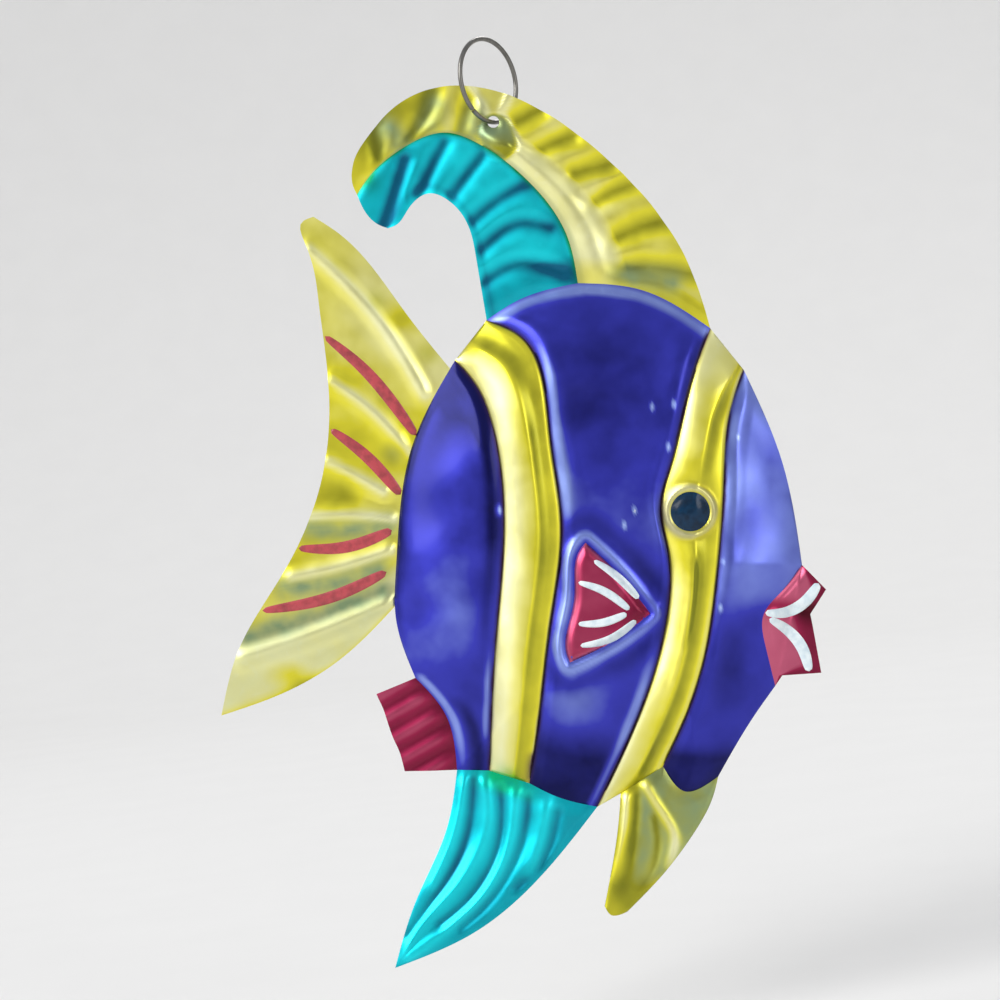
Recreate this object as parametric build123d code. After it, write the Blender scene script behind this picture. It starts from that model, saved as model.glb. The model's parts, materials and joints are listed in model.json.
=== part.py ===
from build123d import *
import math
import os

import numpy as np

# Hanging tin fish: one embossed tinplate sheet, lacquer coats on its front and a wire ring.
# The drawing lies in the XZ plane, front towards -Y, with its zero at the punched hole.
# Sizes are in millimetres and angles in degrees.

# Thicknesses
SHEET_T = 0.3
LACQUER_T = 0.1
STROKE_T = 0.08

# Wire ring and its hole
WIRE_D = 0.7
RING_D = 12.5
RING_TURN = 49.0
RING_SPLIT = 2.5
HOLE_CLEARANCE = 0.25

# Embossing heights and the widths that they build up over
BODY_RISE = 4.5
BODY_SHOULDER = 15.0
STRIPE_RISE = 1.7
STRIPE_FADE = 3.0
REAR_CREST_AT = 0.57
FRONT_CREST_AT = 0.48
GROOVE_DEPTH = 1.0
GROOVE_WIDTH = 1.7
PECTORAL_RISE = 1.2
PECTORAL_EDGE = 1.6
EYE_RISE = 0.9
EYE_FLAT = 0.75
EYE_FLAT_REACH = 4.2
RIB_RISE = 1.0
RIB_FADE = 2.5
CREST_RIB_PITCH = 7.5
WEB_RIB_PITCH = 6.5
BOSS_RISE = 0.6
BOSS_R = 2.8
BOSS_AT = (1.0, -2.8)
HOLE_PAD_R = 2.2
RELIEF_STEP = 2.5
RELIEF_TOLERANCE = 0.05

# Ribs across each fan-shaped fin
TAIL_RIBS = 6
ANAL_RIBS = 4
PELVIC_RIBS = 3
VENT_RIBS = 3

# Body outline, from the back of the crown round by the mouth, belly and flank
CROWN = [(-1, -29.5), (12, -24), (22, -25), (32.3, -30.7)]
FOREHEAD = [(32.3, -30.7), (37, -36.5), (43, -50.5), (46, -66)]
LIPS = [(46, -66), (42, -84)]
CHIN = [(42, -84), (38.5, -89), (33.5, -97.5)]
THROAT = [(33.5, -97.5), (28.5, -99.7), (25.3, -96)]
STRIPE_TOE = [(25.3, -96), (19, -100), (16, -101.3), (14.5, -102.5)]
BELLY = [(14.5, -102.5), (9.5, -100.5), (5.5, -98.5), (-0.5, -96.7), (-5.4, -96.5)]
VENT = [(-5.4, -96.5), (-7, -88.5), (-11.6, -82.8)]
FLANK = [(-11.6, -82.8), (-14.5, -74), (-14.5, -66.5), (-12, -48), (-5.7, -35.5), (-1, -29.5)]

# Fin edges: each one runs on under the body
DORSAL_TOP = [(32.3, -30.7), (29, -21), (24.5, -13.6), (14, -3), (4, 3.3), (-5.5, 5.4), (-11, 4.4),
              (-15.5, 1.5), (-19.5, -3.5), (-21, -7.5)]
DORSAL_HOOK = [(-21, -7.5), (-19.1, -13.1), (-17.2, -15.2), (-15.7, -15.8), (-14.4, -15.3), (-12.8, -13.2),
               (-10, -10.7), (-5, -13.3), (-2.6, -20), (-1.5, -29)]
DORSAL_ROOT = [(-1.5, -29), (1, -33), (30, -34), (32.3, -30.7)]
WEB_TOP = [(-21.5, -11.5), (-15.5, -5), (-6.5, -1.5), (-3, -2.6), (5, -8.6), (11, -17), (12.6, -26)]
WEB_REST = [(12.6, -26), (12.6, -35), (-26, -35), (-21.5, -11.5)]
TAIL_TIP = [(-28.8, -14.6), (-26.5, -14.1)]
TAIL_TOP = [(-26.5, -14.1), (-23, -16.6), (-13, -28.5), (-7.2, -36.2)]
TAIL_ROOT = [(-7.2, -36.2), (-4, -40), (-10, -74), (-15, -74)]
TAIL_BOTTOM = [(-15, -74), (-23, -80.2), (-30.7, -84.8), (-40.5, -88.4)]
TAIL_BACK = [(-40.5, -88.4), (-38, -79.2), (-31, -67), (-25.8, -54), (-24.4, -40), (-26, -25), (-28.8, -14.6)]
ANAL_FRONT = [(-14.6, -126), (-2.6, -120.6), (8.3, -111), (14.5, -102.5)]
ANAL_ROOT = [(14.5, -102.5), (12, -95), (-3, -92), (-5.4, -96.5)]
ANAL_BACK = [(-5.4, -96.5), (-7, -105.5), (-11.5, -116), (-14.6, -126)]
PELVIC_BACK = [(19, -100), (18.6, -105), (17.7, -111), (16.6, -116.8)]
PELVIC_TIP = [(16.6, -116.8), (17.4, -118), (20, -117.6)]
PELVIC_FRONT = [(20, -117.6), (25.7, -111.6), (29.7, -106.2), (32.8, -100.3), (33.5, -97.5)]
PELVIC_ROOT = [(33.5, -97.5), (32, -92), (20, -94), (19, -100)]
VENT_TAB = [(-11.6, -82.8), (-17.4, -85.2), (-15.5, -90.8), (-13.2, -96.7), (-5.4, -96.5), (-4, -86)]

# Painted shapes on the body
REAR_STRIPE_BACK = [(-8, -33), (-2.5, -39.5), (0, -46), (1.5, -61.5), (0.3, -77.5), (-0.7, -98.5)]
REAR_STRIPE_FRONT = [(5.4, -101), (6.5, -91), (8.5, -74.5), (10.1, -60), (8.5, -47.5), (3.2, -31), (-1.5, -27.5)]
FRONT_STRIPE_BACK = [(33, -28), (29.1, -39.5), (26.2, -51), (26, -70), (23, -84), (14.5, -104)]
FRONT_STRIPE_FRONT = [(20, -102), (25.3, -95.5), (31, -80.5), (33.4, -63), (35, -44), (39, -33)]
PECTORAL = [(13.9, -62), (23.3, -73), (11, -80.6)]
PECTORAL_CORNER_R = 1.2
MOUTH = [(43.3, -69.4), (46.3, -66.4), (49.5, -69.6), (47.2, -73.3), (48.8, -82), (43, -82.4),
         (42, -84), (40, -73)]
EYE_AT = (29, -58)
EYE_R = 2.9
EYE_RIM = 1.2

# Brush strokes: width, then the middle line of each stroke
TAIL_STROKE_W = 1.3
TAIL_STROKES = [
    [(-25, -32), (-19, -36), (-11.3, -46.5)],
    [(-24, -46.2), (-19, -49.8), (-13.7, -55)],
    [(-28.8, -63.5), (-22, -63.4), (-15.2, -60.8)],
    [(-34.2, -72.6), (-23.5, -70.8), (-15.6, -67)],
]
PECTORAL_STROKE_W = 0.9
PECTORAL_STROKES = [
    [(14.8, -65.2), (17.8, -67.2), (21.4, -70.8)],
    [(12.5, -68.4), (16.1, -69.6), (20, -72.4)],
    [(12.5, -74.5), (16.1, -74.3), (19.6, -73)],
    [(12.8, -77.7), (17, -76.8), (21, -74)],
]
MOUTH_STROKE_W = 1.1
MOUTH_STROKES = [
    [(40.5, -73.2), (43.8, -72.6), (48.2, -68.9)],
    [(41.2, -74.2), (45.3, -76.3), (47, -81.6)],
]

# Lengths along the middle of a stroke and its share of the full width there
STROKE_SHAPE = [(0.25, 0.8), (0.5, 1.0), (0.75, 0.8)]

# Reach of the cutting prisms on each side of the drawing plane, and of the relief past the outline
PRISM_REACH = 15.0
RELIEF_MARGIN = 3.0
CURVE_SAMPLES = 24


def edge(points):
    """A straight line for two points, a smooth curve for more."""
    knots = [Vector(x, 0, z) for x, z in points]
    return Edge.make_line(*knots) if len(knots) == 2 else Edge.make_spline(knots)


def chain(points):
    """Straight lines from point to point."""
    return [edge(pair) for pair in zip(points, points[1:])]


def region(*edges):
    """A closed flat shape that faces the front."""
    face = Face(Wire(list(edges)))
    return face if face.normal_at().Y < 0 else -face


def polygon(points):
    return region(*chain(points + points[:1]))


def disc(centre, radius):
    plane = Plane(origin=(centre[0], 0, centre[1]), z_dir=(0, -1, 0))
    return Face(Wire(Edge.make_circle(radius, plane)))


def joined(*faces):
    return Face.fuse(*faces).clean().face()


def body_region():
    toe = chain(STRIPE_TOE)
    return region(edge(CROWN), edge(FOREHEAD), edge(LIPS), edge(CHIN), edge(THROAT), *toe,
                  edge(BELLY), edge(VENT), edge(FLANK))


def dorsal_region():
    return region(edge(DORSAL_TOP), edge(DORSAL_HOOK), *chain(DORSAL_ROOT))


def web_region():
    return region(edge(WEB_TOP), *chain(WEB_REST))


def tail_region():
    return region(edge(TAIL_TIP), edge(TAIL_TOP), *chain(TAIL_ROOT), edge(TAIL_BOTTOM), edge(TAIL_BACK))


def anal_region():
    return region(edge(ANAL_FRONT), *chain(ANAL_ROOT), edge(ANAL_BACK))


def pelvic_region():
    return region(edge(PELVIC_BACK), edge(PELVIC_TIP), edge(PELVIC_FRONT), *chain(PELVIC_ROOT))


def rear_stripe_region():
    foot = [REAR_STRIPE_BACK[-1], REAR_STRIPE_FRONT[0]]
    head = [REAR_STRIPE_FRONT[-1], REAR_STRIPE_BACK[0]]
    return region(edge(REAR_STRIPE_BACK), edge(foot), edge(REAR_STRIPE_FRONT), edge(head))


def front_stripe_region():
    foot = [FRONT_STRIPE_BACK[-1], FRONT_STRIPE_FRONT[0]]
    head = [FRONT_STRIPE_FRONT[-1], FRONT_STRIPE_BACK[0]]
    band = region(edge(FRONT_STRIPE_BACK), edge(foot), edge(FRONT_STRIPE_FRONT), edge(head))
    return joined(band, disc(EYE_AT, EYE_R + EYE_RIM))


def pectoral_region():
    blank = polygon(PECTORAL)
    return blank.fillet_2d(PECTORAL_CORNER_R, blank.vertices())


def stroke_region(points, width):
    """A brush stroke: pointed at both ends and widest in the middle."""
    middle = edge(points)
    sides = {1: [], -1: []}
    for side, row in sides.items():
        for along, share in STROKE_SHAPE:
            across = middle.tangent_at(along).cross(Vector(0, 1, 0))
            spot = middle.position_at(along) + across * (side * share * width / 2)
            row.append((spot.X, spot.Z))
    there = [points[0]] + sides[1] + [points[-1]]
    back = [points[-1]] + sides[-1][::-1] + [points[0]]
    return region(edge(there), edge(back))


def samples(shape):
    """Points along each edge of a region, in order, for measuring distances."""
    wire = shape.outer_wire() if isinstance(shape, Face) else shape
    count = CURVE_SAMPLES * len(wire.edges())
    spots = [wire.position_at(i / count) for i in range(count + 1)]
    return np.array([(spot.X, spot.Z) for spot in spots])


def nearest(line, x, z):
    """Distance from each point to a line of samples, and the length along it there."""
    best = np.full(x.shape, np.inf)
    along = np.zeros(x.shape)
    run = 0.0
    for (ax, az), (bx, bz) in zip(line, line[1:]):
        length = math.hypot(bx - ax, bz - az)
        if length == 0:
            continue
        t = np.clip(((x - ax) * (bx - ax) + (z - az) * (bz - az)) / length**2, 0, 1)
        gap = np.hypot(x - ax - t * (bx - ax), z - az - t * (bz - az))
        closer = gap < best
        best = np.where(closer, gap, best)
        along = np.where(closer, run + t * length, along)
        run += length
    return best, along


def depth(shape, x, z):
    """Distance inside a region's edge, negative outside it."""
    line = samples(shape)
    inside = np.zeros(x.shape, dtype=bool)
    for (ax, az), (bx, bz) in zip(line, line[1:]):
        if az != bz:
            crosses = (az > z) != (bz > z)
            inside ^= crosses & (x < ax + (z - az) * (bx - ax) / (bz - az))
    gap, _ = nearest(line, x, z)
    return np.where(inside, gap, -gap)


def ramp(distance, width):
    """0 at an edge, 1 from a width inside it, rounded over at the top."""
    t = np.clip(distance / width, 0, 1)
    return 1 - (1 - t) ** 2


def wave(turns):
    return 0.5 + 0.5 * np.cos(2 * math.pi * turns)


def fan_share(first, second, x, z):
    """0 on the first edge of a fin, 1 on the second."""
    from_first, _ = nearest(samples(Wire([edge(first)])), x, z)
    from_second, _ = nearest(samples(Wire([edge(second)])), x, z)
    return from_first / (from_first + from_second)


def fan_ribs(count, first, second, x, z):
    """Ribs that run out along a fin, low on both of its edges."""
    return wave(count * fan_share(first, second, x, z) + 0.5)


def body_rise(regions, x, z):
    inside = depth(regions["body"], x, z)
    rise = BODY_RISE * ramp(inside, BODY_SHOULDER)
    near_edge = ramp(inside, STRIPE_FADE)
    from_eye = np.hypot(x - EYE_AT[0], z - EYE_AT[1])
    flat = 1 - EYE_FLAT * np.exp(-((from_eye / EYE_FLAT_REACH) ** 2))
    stripes = {
        "rear_stripe": (REAR_STRIPE_BACK, REAR_STRIPE_FRONT, REAR_CREST_AT),
        "front_stripe": (FRONT_STRIPE_BACK, FRONT_STRIPE_FRONT, FRONT_CREST_AT),
    }
    for name, (back, front, crest_at) in stripes.items():
        across = depth(regions[name], x, z)
        share = fan_share(back, front, x, z)
        roof = np.where(across > 0, np.minimum(share / crest_at, (1 - share) / (1 - crest_at)), 0)
        groove = np.exp(-((across / GROOVE_WIDTH) ** 2))
        rise += (STRIPE_RISE * roof - GROOVE_DEPTH * groove) * flat * near_edge
    rise += PECTORAL_RISE * ramp(depth(regions["pectoral"], x, z), PECTORAL_EDGE)
    return rise + EYE_RISE * ramp(EYE_R + EYE_RIM - from_eye, EYE_R)


def fin_rise(regions, x, z):
    ribs = np.zeros(x.shape)
    _, along_crest = nearest(samples(Wire([edge(DORSAL_TOP)])), x, z)
    _, along_web = nearest(samples(Wire([edge(WEB_TOP)])), x, z)
    waves = {
        "crest": wave(along_crest / CREST_RIB_PITCH),
        "web": wave(along_web / WEB_RIB_PITCH),
        "tail": fan_ribs(TAIL_RIBS, TAIL_TOP, TAIL_BOTTOM, x, z),
        "anal": fan_ribs(ANAL_RIBS, ANAL_BACK, ANAL_FRONT, x, z),
        "pelvic": fan_ribs(PELVIC_RIBS, PELVIC_BACK, PELVIC_FRONT, x, z),
        "vent": fan_ribs(VENT_RIBS, VENT_TAB[:2], VENT_TAB[3:5], x, z),
    }
    for name, height in waves.items():
        ribs += RIB_RISE * height * ramp(depth(regions[name], x, z), RIB_FADE)
    pad = 1 - np.exp(-((np.hypot(x, z) / HOLE_PAD_R) ** 2))
    from_boss = np.hypot(x - BOSS_AT[0], z - BOSS_AT[1])
    return (ribs + BOSS_RISE * ramp(BOSS_R - from_boss, BOSS_R)) * pad


def rounded(heights):
    """Each height averaged with its neighbours, because thin tin takes no sharp corner."""
    for axis in (0, 1):
        padded = np.pad(heights, [(1, 1) if axis == i else (0, 0) for i in (0, 1)], mode="edge")
        before, after = np.split(padded, [2], axis=axis)[1], np.split(padded, [-2], axis=axis)[0]
        heights = (before + 2 * heights + after) / 4
    return heights


def relief_face(regions):
    """The embossed front of the sheet as one smooth surface over the whole drawing."""
    box = regions["outline"].bounding_box()
    low = (box.min.X - RELIEF_MARGIN, box.min.Z - RELIEF_MARGIN)
    high = (box.max.X + RELIEF_MARGIN, box.max.Z + RELIEF_MARGIN)
    columns = np.linspace(low[0], high[0], round((high[0] - low[0]) / RELIEF_STEP) + 1)
    rows = np.linspace(low[1], high[1], round((high[1] - low[1]) / RELIEF_STEP) + 1)
    x, z = np.meshgrid(columns, rows)
    y = -rounded(body_rise(regions, x, z) + fin_rise(regions, x, z))
    grid = [[Vector(*spot) for spot in zip(*line)] for line in zip(x.tolist(), y.tolist(), z.tolist())]
    return Face.make_surface_from_array_of_points(grid, tol=RELIEF_TOLERANCE, min_deg=3, max_deg=3)


def layer(relief, shape, start, thickness):
    """The part of one layer that lies over a region, starting that far in front of the relief."""
    slab = Solid.extrude(Pos(0, -start, 0) * relief, Vector(0, -thickness, 0))
    prism = extrude(shape, PRISM_REACH, dir=(0, 1, 0), both=True)
    return slab & prism


def hole_cutter(hole_d):
    """A round bar right through the drawing plane at its zero."""
    foot = Plane((0, -PRISM_REACH, 0), z_dir=(0, 1, 0))
    return Solid.make_cylinder(hole_d / 2, 2 * PRISM_REACH, foot)


def make_regions():
    body = body_region()
    dorsal = dorsal_region() - body
    web = web_region()
    mouth = polygon(MOUTH)
    regions = {
        "body": body,
        "crest": (dorsal - web).face(),
        "web": (dorsal & web).face(),
        "tail": (tail_region() - body).face(),
        "anal": (anal_region() - body).face(),
        "pelvic": (pelvic_region() - body).face(),
        "vent": (polygon(VENT_TAB) - body).face(),
        "mouth": mouth,
        "pectoral": pectoral_region(),
        "rear_stripe": (rear_stripe_region() & body).face(),
        "front_stripe": (front_stripe_region() & body).face(),
    }
    panels = body - regions["rear_stripe"] - regions["front_stripe"] - mouth - regions["pectoral"]
    rear, middle, head = panels.faces().sort_by(Axis.X)
    regions.update(rear_panel=rear, middle_panel=middle, head_panel=head)
    regions["outline"] = joined(body, dorsal_region(), tail_region(), anal_region(), pelvic_region(),
                                polygon(VENT_TAB), mouth)
    return regions


def make_ring():
    """A round of wire with a split, standing on the hole, turned about the upright."""
    start = Plane(origin=(RING_D / 2, 0, 0), z_dir=(0, 0, 1))
    section = start * Circle(WIRE_D / 2)
    hoop = revolve(section, Axis((0, 0, 0), (0, 1, 0)), 360 - RING_SPLIT)
    return Rot(0, 0, RING_TURN) * Rot(0, 135, 0) * hoop


def main():
    os.makedirs("parts", exist_ok=True)
    regions = make_regions()
    relief = relief_face(regions)
    slant = math.radians(RING_TURN)
    hole_d = WIRE_D / math.sin(slant) + (SHEET_T + LACQUER_T) / math.tan(slant) + 2 * HOLE_CLEARANCE
    hole = hole_cutter(hole_d)

    pieces = {"tin_sheet": layer(relief, regions["outline"], -SHEET_T, SHEET_T) - hole}
    coats = {
        "rear_panel_lacquer": "rear_panel",
        "middle_panel_lacquer": "middle_panel",
        "head_panel_lacquer": "head_panel",
        "rear_stripe_lacquer": "rear_stripe",
        "front_stripe_lacquer": "front_stripe",
        "tail_lacquer": "tail",
        "dorsal_crest_lacquer": "crest",
        "dorsal_web_lacquer": "web",
        "anal_fin_lacquer": "anal",
        "pelvic_fin_lacquer": "pelvic",
        "vent_tab_lacquer": "vent",
        "pectoral_fin_lacquer": "pectoral",
        "mouth_lacquer": "mouth",
    }
    for node, name in coats.items():
        pieces[node] = layer(relief, regions[name], 0, LACQUER_T) - hole
    pieces["eye_dot"] = layer(relief, disc(EYE_AT, EYE_R), LACQUER_T, STROKE_T)
    strokes = {
        "tail_strokes": (TAIL_STROKES, TAIL_STROKE_W),
        "pectoral_strokes": (PECTORAL_STROKES, PECTORAL_STROKE_W),
        "mouth_strokes": (MOUTH_STROKES, MOUTH_STROKE_W),
    }
    for node, (lines, width) in strokes.items():
        marks = [layer(relief, stroke_region(points, width), LACQUER_T, STROKE_T) for points in lines]
        pieces[node] = Compound(marks)

    # The fish hangs with its centre of gravity straight below the hole.
    # The frame's zero is where a hook holds the ring, at the top of its inside.
    balance = pieces["tin_sheet"].center(CenterOf.MASS)
    tilt = math.degrees(math.atan2(balance.X, -balance.Z))
    drop = RING_D - WIRE_D / 2
    middle_y = (SHEET_T - LACQUER_T) / 2
    for node, piece in pieces.items():
        export_step(Pos(0, -middle_y, -drop) * Rot(0, tilt, 0) * piece, f"parts/{node}.step")
    export_step(Pos(0, 0, RING_D / 2 - drop) * make_ring(), "parts/hanging_ring.step")
    print(f"hang tilt {tilt:.3f} degrees, hole {hole_d:.3f} mm, hole {drop:.3f} mm below the zero")


if __name__ == "__main__":
    main()
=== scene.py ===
import json
import math

import bmesh
import bpy
import numpy as np
from bpy.props import FloatProperty, FloatVectorProperty, IntProperty, PointerProperty
from bpy.types import Operator, Panel, PropertyGroup
from mathutils import Matrix, Vector
from mathutils.bvhtree import BVHTree


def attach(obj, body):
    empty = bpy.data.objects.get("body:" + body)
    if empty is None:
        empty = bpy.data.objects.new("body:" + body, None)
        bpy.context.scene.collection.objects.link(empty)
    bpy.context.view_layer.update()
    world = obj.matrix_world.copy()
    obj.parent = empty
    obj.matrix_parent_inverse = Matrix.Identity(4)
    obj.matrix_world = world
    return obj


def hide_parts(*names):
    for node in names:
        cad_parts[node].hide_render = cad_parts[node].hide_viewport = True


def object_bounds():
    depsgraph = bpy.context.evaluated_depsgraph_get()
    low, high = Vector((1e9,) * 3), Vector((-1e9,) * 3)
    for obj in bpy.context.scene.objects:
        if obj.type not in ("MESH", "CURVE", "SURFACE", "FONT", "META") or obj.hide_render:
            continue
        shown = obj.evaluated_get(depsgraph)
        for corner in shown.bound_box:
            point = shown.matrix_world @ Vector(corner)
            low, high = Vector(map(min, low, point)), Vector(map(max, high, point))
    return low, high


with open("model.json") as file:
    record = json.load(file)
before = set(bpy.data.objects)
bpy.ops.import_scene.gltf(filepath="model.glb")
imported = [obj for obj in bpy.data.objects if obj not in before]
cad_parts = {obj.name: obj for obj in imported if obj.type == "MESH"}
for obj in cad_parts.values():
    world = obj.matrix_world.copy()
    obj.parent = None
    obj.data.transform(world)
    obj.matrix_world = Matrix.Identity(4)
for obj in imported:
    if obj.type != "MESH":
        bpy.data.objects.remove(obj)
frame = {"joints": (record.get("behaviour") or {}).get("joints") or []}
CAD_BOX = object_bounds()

bl_info = {
    "name": "Hanging Tin Fish",
    "version": (1, 0, 0),
    "blender": (4, 5, 0),
    "location": "View3D > Sidebar > Tin Fish",
    "description": "Builds an embossed tin fish with lacquer coats and brush strokes on a wire ring",
    "category": "Object",
}

# The drawing of the fish is flat, in millimetres, x towards the nose and z up, with its zero at the hole.
# It hangs leaning by HANG_TILT, with the hole where the sway joint is. Heights stand out towards -Y.
MM = 0.001
HANG_TILT = math.radians(6.769)
HOLE_AT = Vector(frame["joints"][0]["pos_m"])
SHEET_FRONT = 0.1
HOLE_R = 0.888
HOLE_PAD = 1.8
SEED = 7
BARE_TIN = (0.8, 0.84, 0.88)

# How many cells the body's length and each coat's width are cut into
FLANK_CELLS = 138
VENT_CELLS = 39
FOREHEAD_CELLS = 81
MOUTH_CELLS = 54
CHIN_CELLS = 42
LONG_CELLS = FLANK_CELLS + VENT_CELLS
REAR_CELLS = 30
STRIPE_CELLS = 26
WEB_CELLS = 24
CREST_CELLS = 34
MIDDLE_CELLS = WEB_CELLS + CREST_CELLS
TOE_BACK_CELLS = 8
TOE_CELLS = 20
HEAD_CELLS = 32
DORSAL_CELLS = 150
TAIL_CELLS = 64
ANAL_CELLS = 48
PELVIC_CELLS = 40
TAB_CELLS = 20
LIP_CELLS = 20
PECTORAL_CELLS = 40
PECTORAL_EDGE_CELLS = 30
STROKE_CELLS = 36
STROKE_POINTS = 9
EYE_RINGS = 12
EYE_TURNS = 56
FOLD_CELLS = 24
RING_STEPS = 120

# The tail grows from the flank between these two of its points
TAIL_ROOT_TOP = 4
TAIL_ROOT_END = 107

# Corners that several outlines share
CROWN_BACK = (-1, -29.5)
CROWN_SPLIT = (12.6, -24)
CROWN_FRONT = (32.3, -30.7)
BROW = (37.3, -36.9)
LIP_TOP = (46, -66)
LIP_END = (42, -84)
THROAT_FRONT = (33.5, -97.5)
THROAT_BACK = (25.3, -96)
TOE_MIDDLE = (19, -100)
TOE_BACK = (15.5, -102)
STRIPE_FOOT_FRONT = (5.4, -98.5)
STRIPE_FOOT_BACK = (-0.6, -96.6)
VENT_FRONT = (-5.4, -96.5)
VENT_BACK = (-11.6, -82.8)
STRIPE_CAP = (-5.7, -35.5)
HOOK_SPLIT = (-20.3, -10.8)
HOOK_TIP = (-15.7, -15.8)

# Curves through points of the drawing
CROWN_WEB = [CROWN_BACK, (4, -26.4), CROWN_SPLIT]
CROWN_CREST = [CROWN_SPLIT, (22, -25), CROWN_FRONT]
FLANK = [STRIPE_CAP, (-12, -48), (-14.5, -66.5), (-14.5, -74), VENT_BACK]
VENT = [VENT_BACK, (-7, -88.5), VENT_FRONT]
FOREHEAD = [BROW, (43, -50.5), LIP_TOP]
MOUTH_ROOT = [LIP_TOP, (43.3, -69.4), (40, -73.4), (40.4, -78), LIP_END]
CHIN = [LIP_END, (38.5, -89), THROAT_FRONT]
THROAT = [THROAT_BACK, (28.5, -99.7), THROAT_FRONT]
BELLY = [STRIPE_FOOT_FRONT, (9.5, -100.5), TOE_BACK]
REAR_STRIPE_BACK = [STRIPE_CAP, (-2.5, -39.5), (0, -46), (1.5, -61.5), (0.3, -77.5), STRIPE_FOOT_BACK]
REAR_STRIPE_FRONT = [CROWN_BACK, (3.6, -31.6), (8.5, -47.5), (10.1, -60), (8.5, -74.5), (6.5, -91),
                     STRIPE_FOOT_FRONT]
FRONT_STRIPE_BACK = [CROWN_FRONT, (29.1, -39.5), (26.2, -51), (24.7, -58), (25.8, -64), (26, -70),
                     (23, -84), TOE_BACK]
FRONT_STRIPE_FRONT = [BROW, (35, -44), (34.2, -53), (33.8, -60), (33, -68), (31, -80.5), THROAT_BACK]
DORSAL_TOP = [CROWN_FRONT, (29, -21), (24.5, -13.6), (14, -3), (4, 3.3), (-5.5, 5.4), (-11, 4.4),
              (-15.5, 1.5), (-19.4, -3.2), (-20.8, -6), (-21.1, -8)]
WEB_TOP = [CROWN_SPLIT, (11, -17), (5, -8.6), (-3, -2.8), (-6.5, -1.6), (-14, -4.2), (-18.2, -7.8),
           HOOK_SPLIT]
HOOK_INSIDE = [CROWN_BACK, (-2.6, -20), (-5, -13.3), (-10, -10.7), (-12.8, -13.2), (-14.4, -15.3),
               HOOK_TIP]
HOOK_END = [HOOK_SPLIT, (-19.2, -13.2), (-17.4, -15.1), HOOK_TIP]
TAIL_TOP = [(-13, -28.5), (-23, -16.6), (-26.8, -14.1)]
TAIL_BOTTOM = [(-23, -80.2), (-30.7, -84.8), (-40.5, -88.4)]
TAIL_BACK = [(-26.8, -14.1), (-28.6, -15), (-27.9, -18.4), (-26, -27), (-24.5, -40), (-25.8, -54.2),
             (-31.2, -67), (-38, -78.8), (-40.5, -88.4)]
ANAL_BACK = [VENT_FRONT, (-7, -105.5), (-11.5, -116), (-14.6, -126)]
ANAL_FRONT = [TOE_BACK, (8.3, -111), (-2.6, -120.6), (-14.6, -126)]
PELVIC_BACK = [TOE_MIDDLE, (18.6, -105), (17.7, -111), (16.6, -116.8)]
PELVIC_FRONT = [THROAT_FRONT, (32.8, -100.3), (29.7, -106.2), (25.7, -111.6), (20, -117.6)]
PELVIC_TIP = [(16.6, -116.8), (17.4, -118), (20, -117.6)]
TAB_TOP = [VENT_BACK, (-17.4, -85.2)]
TAB_BOTTOM = [VENT_FRONT, (-13.2, -96.7)]
TAB_BACK = [(-17.4, -85.2), (-16.1, -88.2), (-15.2, -91), (-13.9, -94), (-13.2, -96.7)]
PECTORAL_TIP = (23.1, -73)
PECTORAL_TOP = [(13.6, -62.6), (19, -67.8), PECTORAL_TIP]
PECTORAL_BOTTOM = [(11.3, -80.2), (17.4, -77.2), PECTORAL_TIP]
PECTORAL_BACK = [(13.6, -62.6), (12.9, -63.4), (11.9, -71), (10.9, -79.3), (11.3, -80.2)]
EYE_AT = (29, -58)
DROPLET = [(0.4, -1.4), (1.2, -3.4)]
RING_HOLE = (0, 0)
RING_REST = (-11.3, 4.3)
HOOK_STAIN = (-18.6, -8.8)
HOLE_FOLDS = [[(-3.2, 5.4), (-1.2, 1.5)], [(2.6, 4.4), (1.2, 1.4)]]
HEAD_FOLD = [(40, -73.4), (36.4, -76.5), (34.9, -82), (34.6, -88)]

# Lip outline in straight runs between corners, with the cells of each
LIP_CORNERS = [LIP_TOP, (49.5, -69.6), (47.2, -73.3), (48.8, -82), (43, -82.4), LIP_END]
LIP_RUNS = [12, 10, 17, 11, 4]
# The lips part at this point of the mouth's root, whose length follows
LIPS_PART = 21.0
MOUTH_LENGTH = 18

# Brush strokes by their middle lines, and the full width of each kind
TAIL_STROKES = [[(-25.1, -31.9), (-19.5, -36.6), (-11.5, -46.7)],
                [(-24.2, -45.8), (-19, -49.7), (-13.8, -55.5)],
                [(-29, -63.5), (-22, -63.3), (-15.1, -60.8)],
                [(-34.4, -72.8), (-24, -70.7), (-15.9, -67)]]
PECTORAL_STROKES = [[(14.8, -65.2), (17.8, -67.2), (21.4, -70.8)],
                    [(12.5, -68.4), (16.1, -69.6), (20, -72.4)],
                    [(12.5, -74.5), (16.1, -74.3), (19.6, -73)], [(12.8, -77.7), (17, -76.8), (21, -74)]]
MOUTH_STROKES = [[(40.3, -73), (43.4, -73), (46.2, -71.6), (48.4, -68.7)],
                 [(40.9, -73.9), (43.8, -75.7), (46, -78.4), (47, -81.8)]]
STROKE_WIDTHS = {"tail": 1.75, "pectoral": 1.2, "mouth": 1.7}

# Cross-sections: share of the width or millimetres from an edge, then height
STRIPE_SHAPE = [(0, 0), (0.08, 0.3), (0.3, 0.72), (0.52, 0.96), (0.6, 1.0), (0.68, 0.76), (0.78, 0.5),
                (0.88, 0.38), (0.95, 0.32), (1, 0)]
PANEL_SHAPE = [(0, -0.6), (0.9, -0.2), (1.9, 0.05), (3.6, -0.08), (7, 0.02), (12, 0.1), (60, 0.1)]
GROOVE = 0.6
CREST_AT = 0.6
BODY_EDGE_FADE = 3.0

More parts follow.
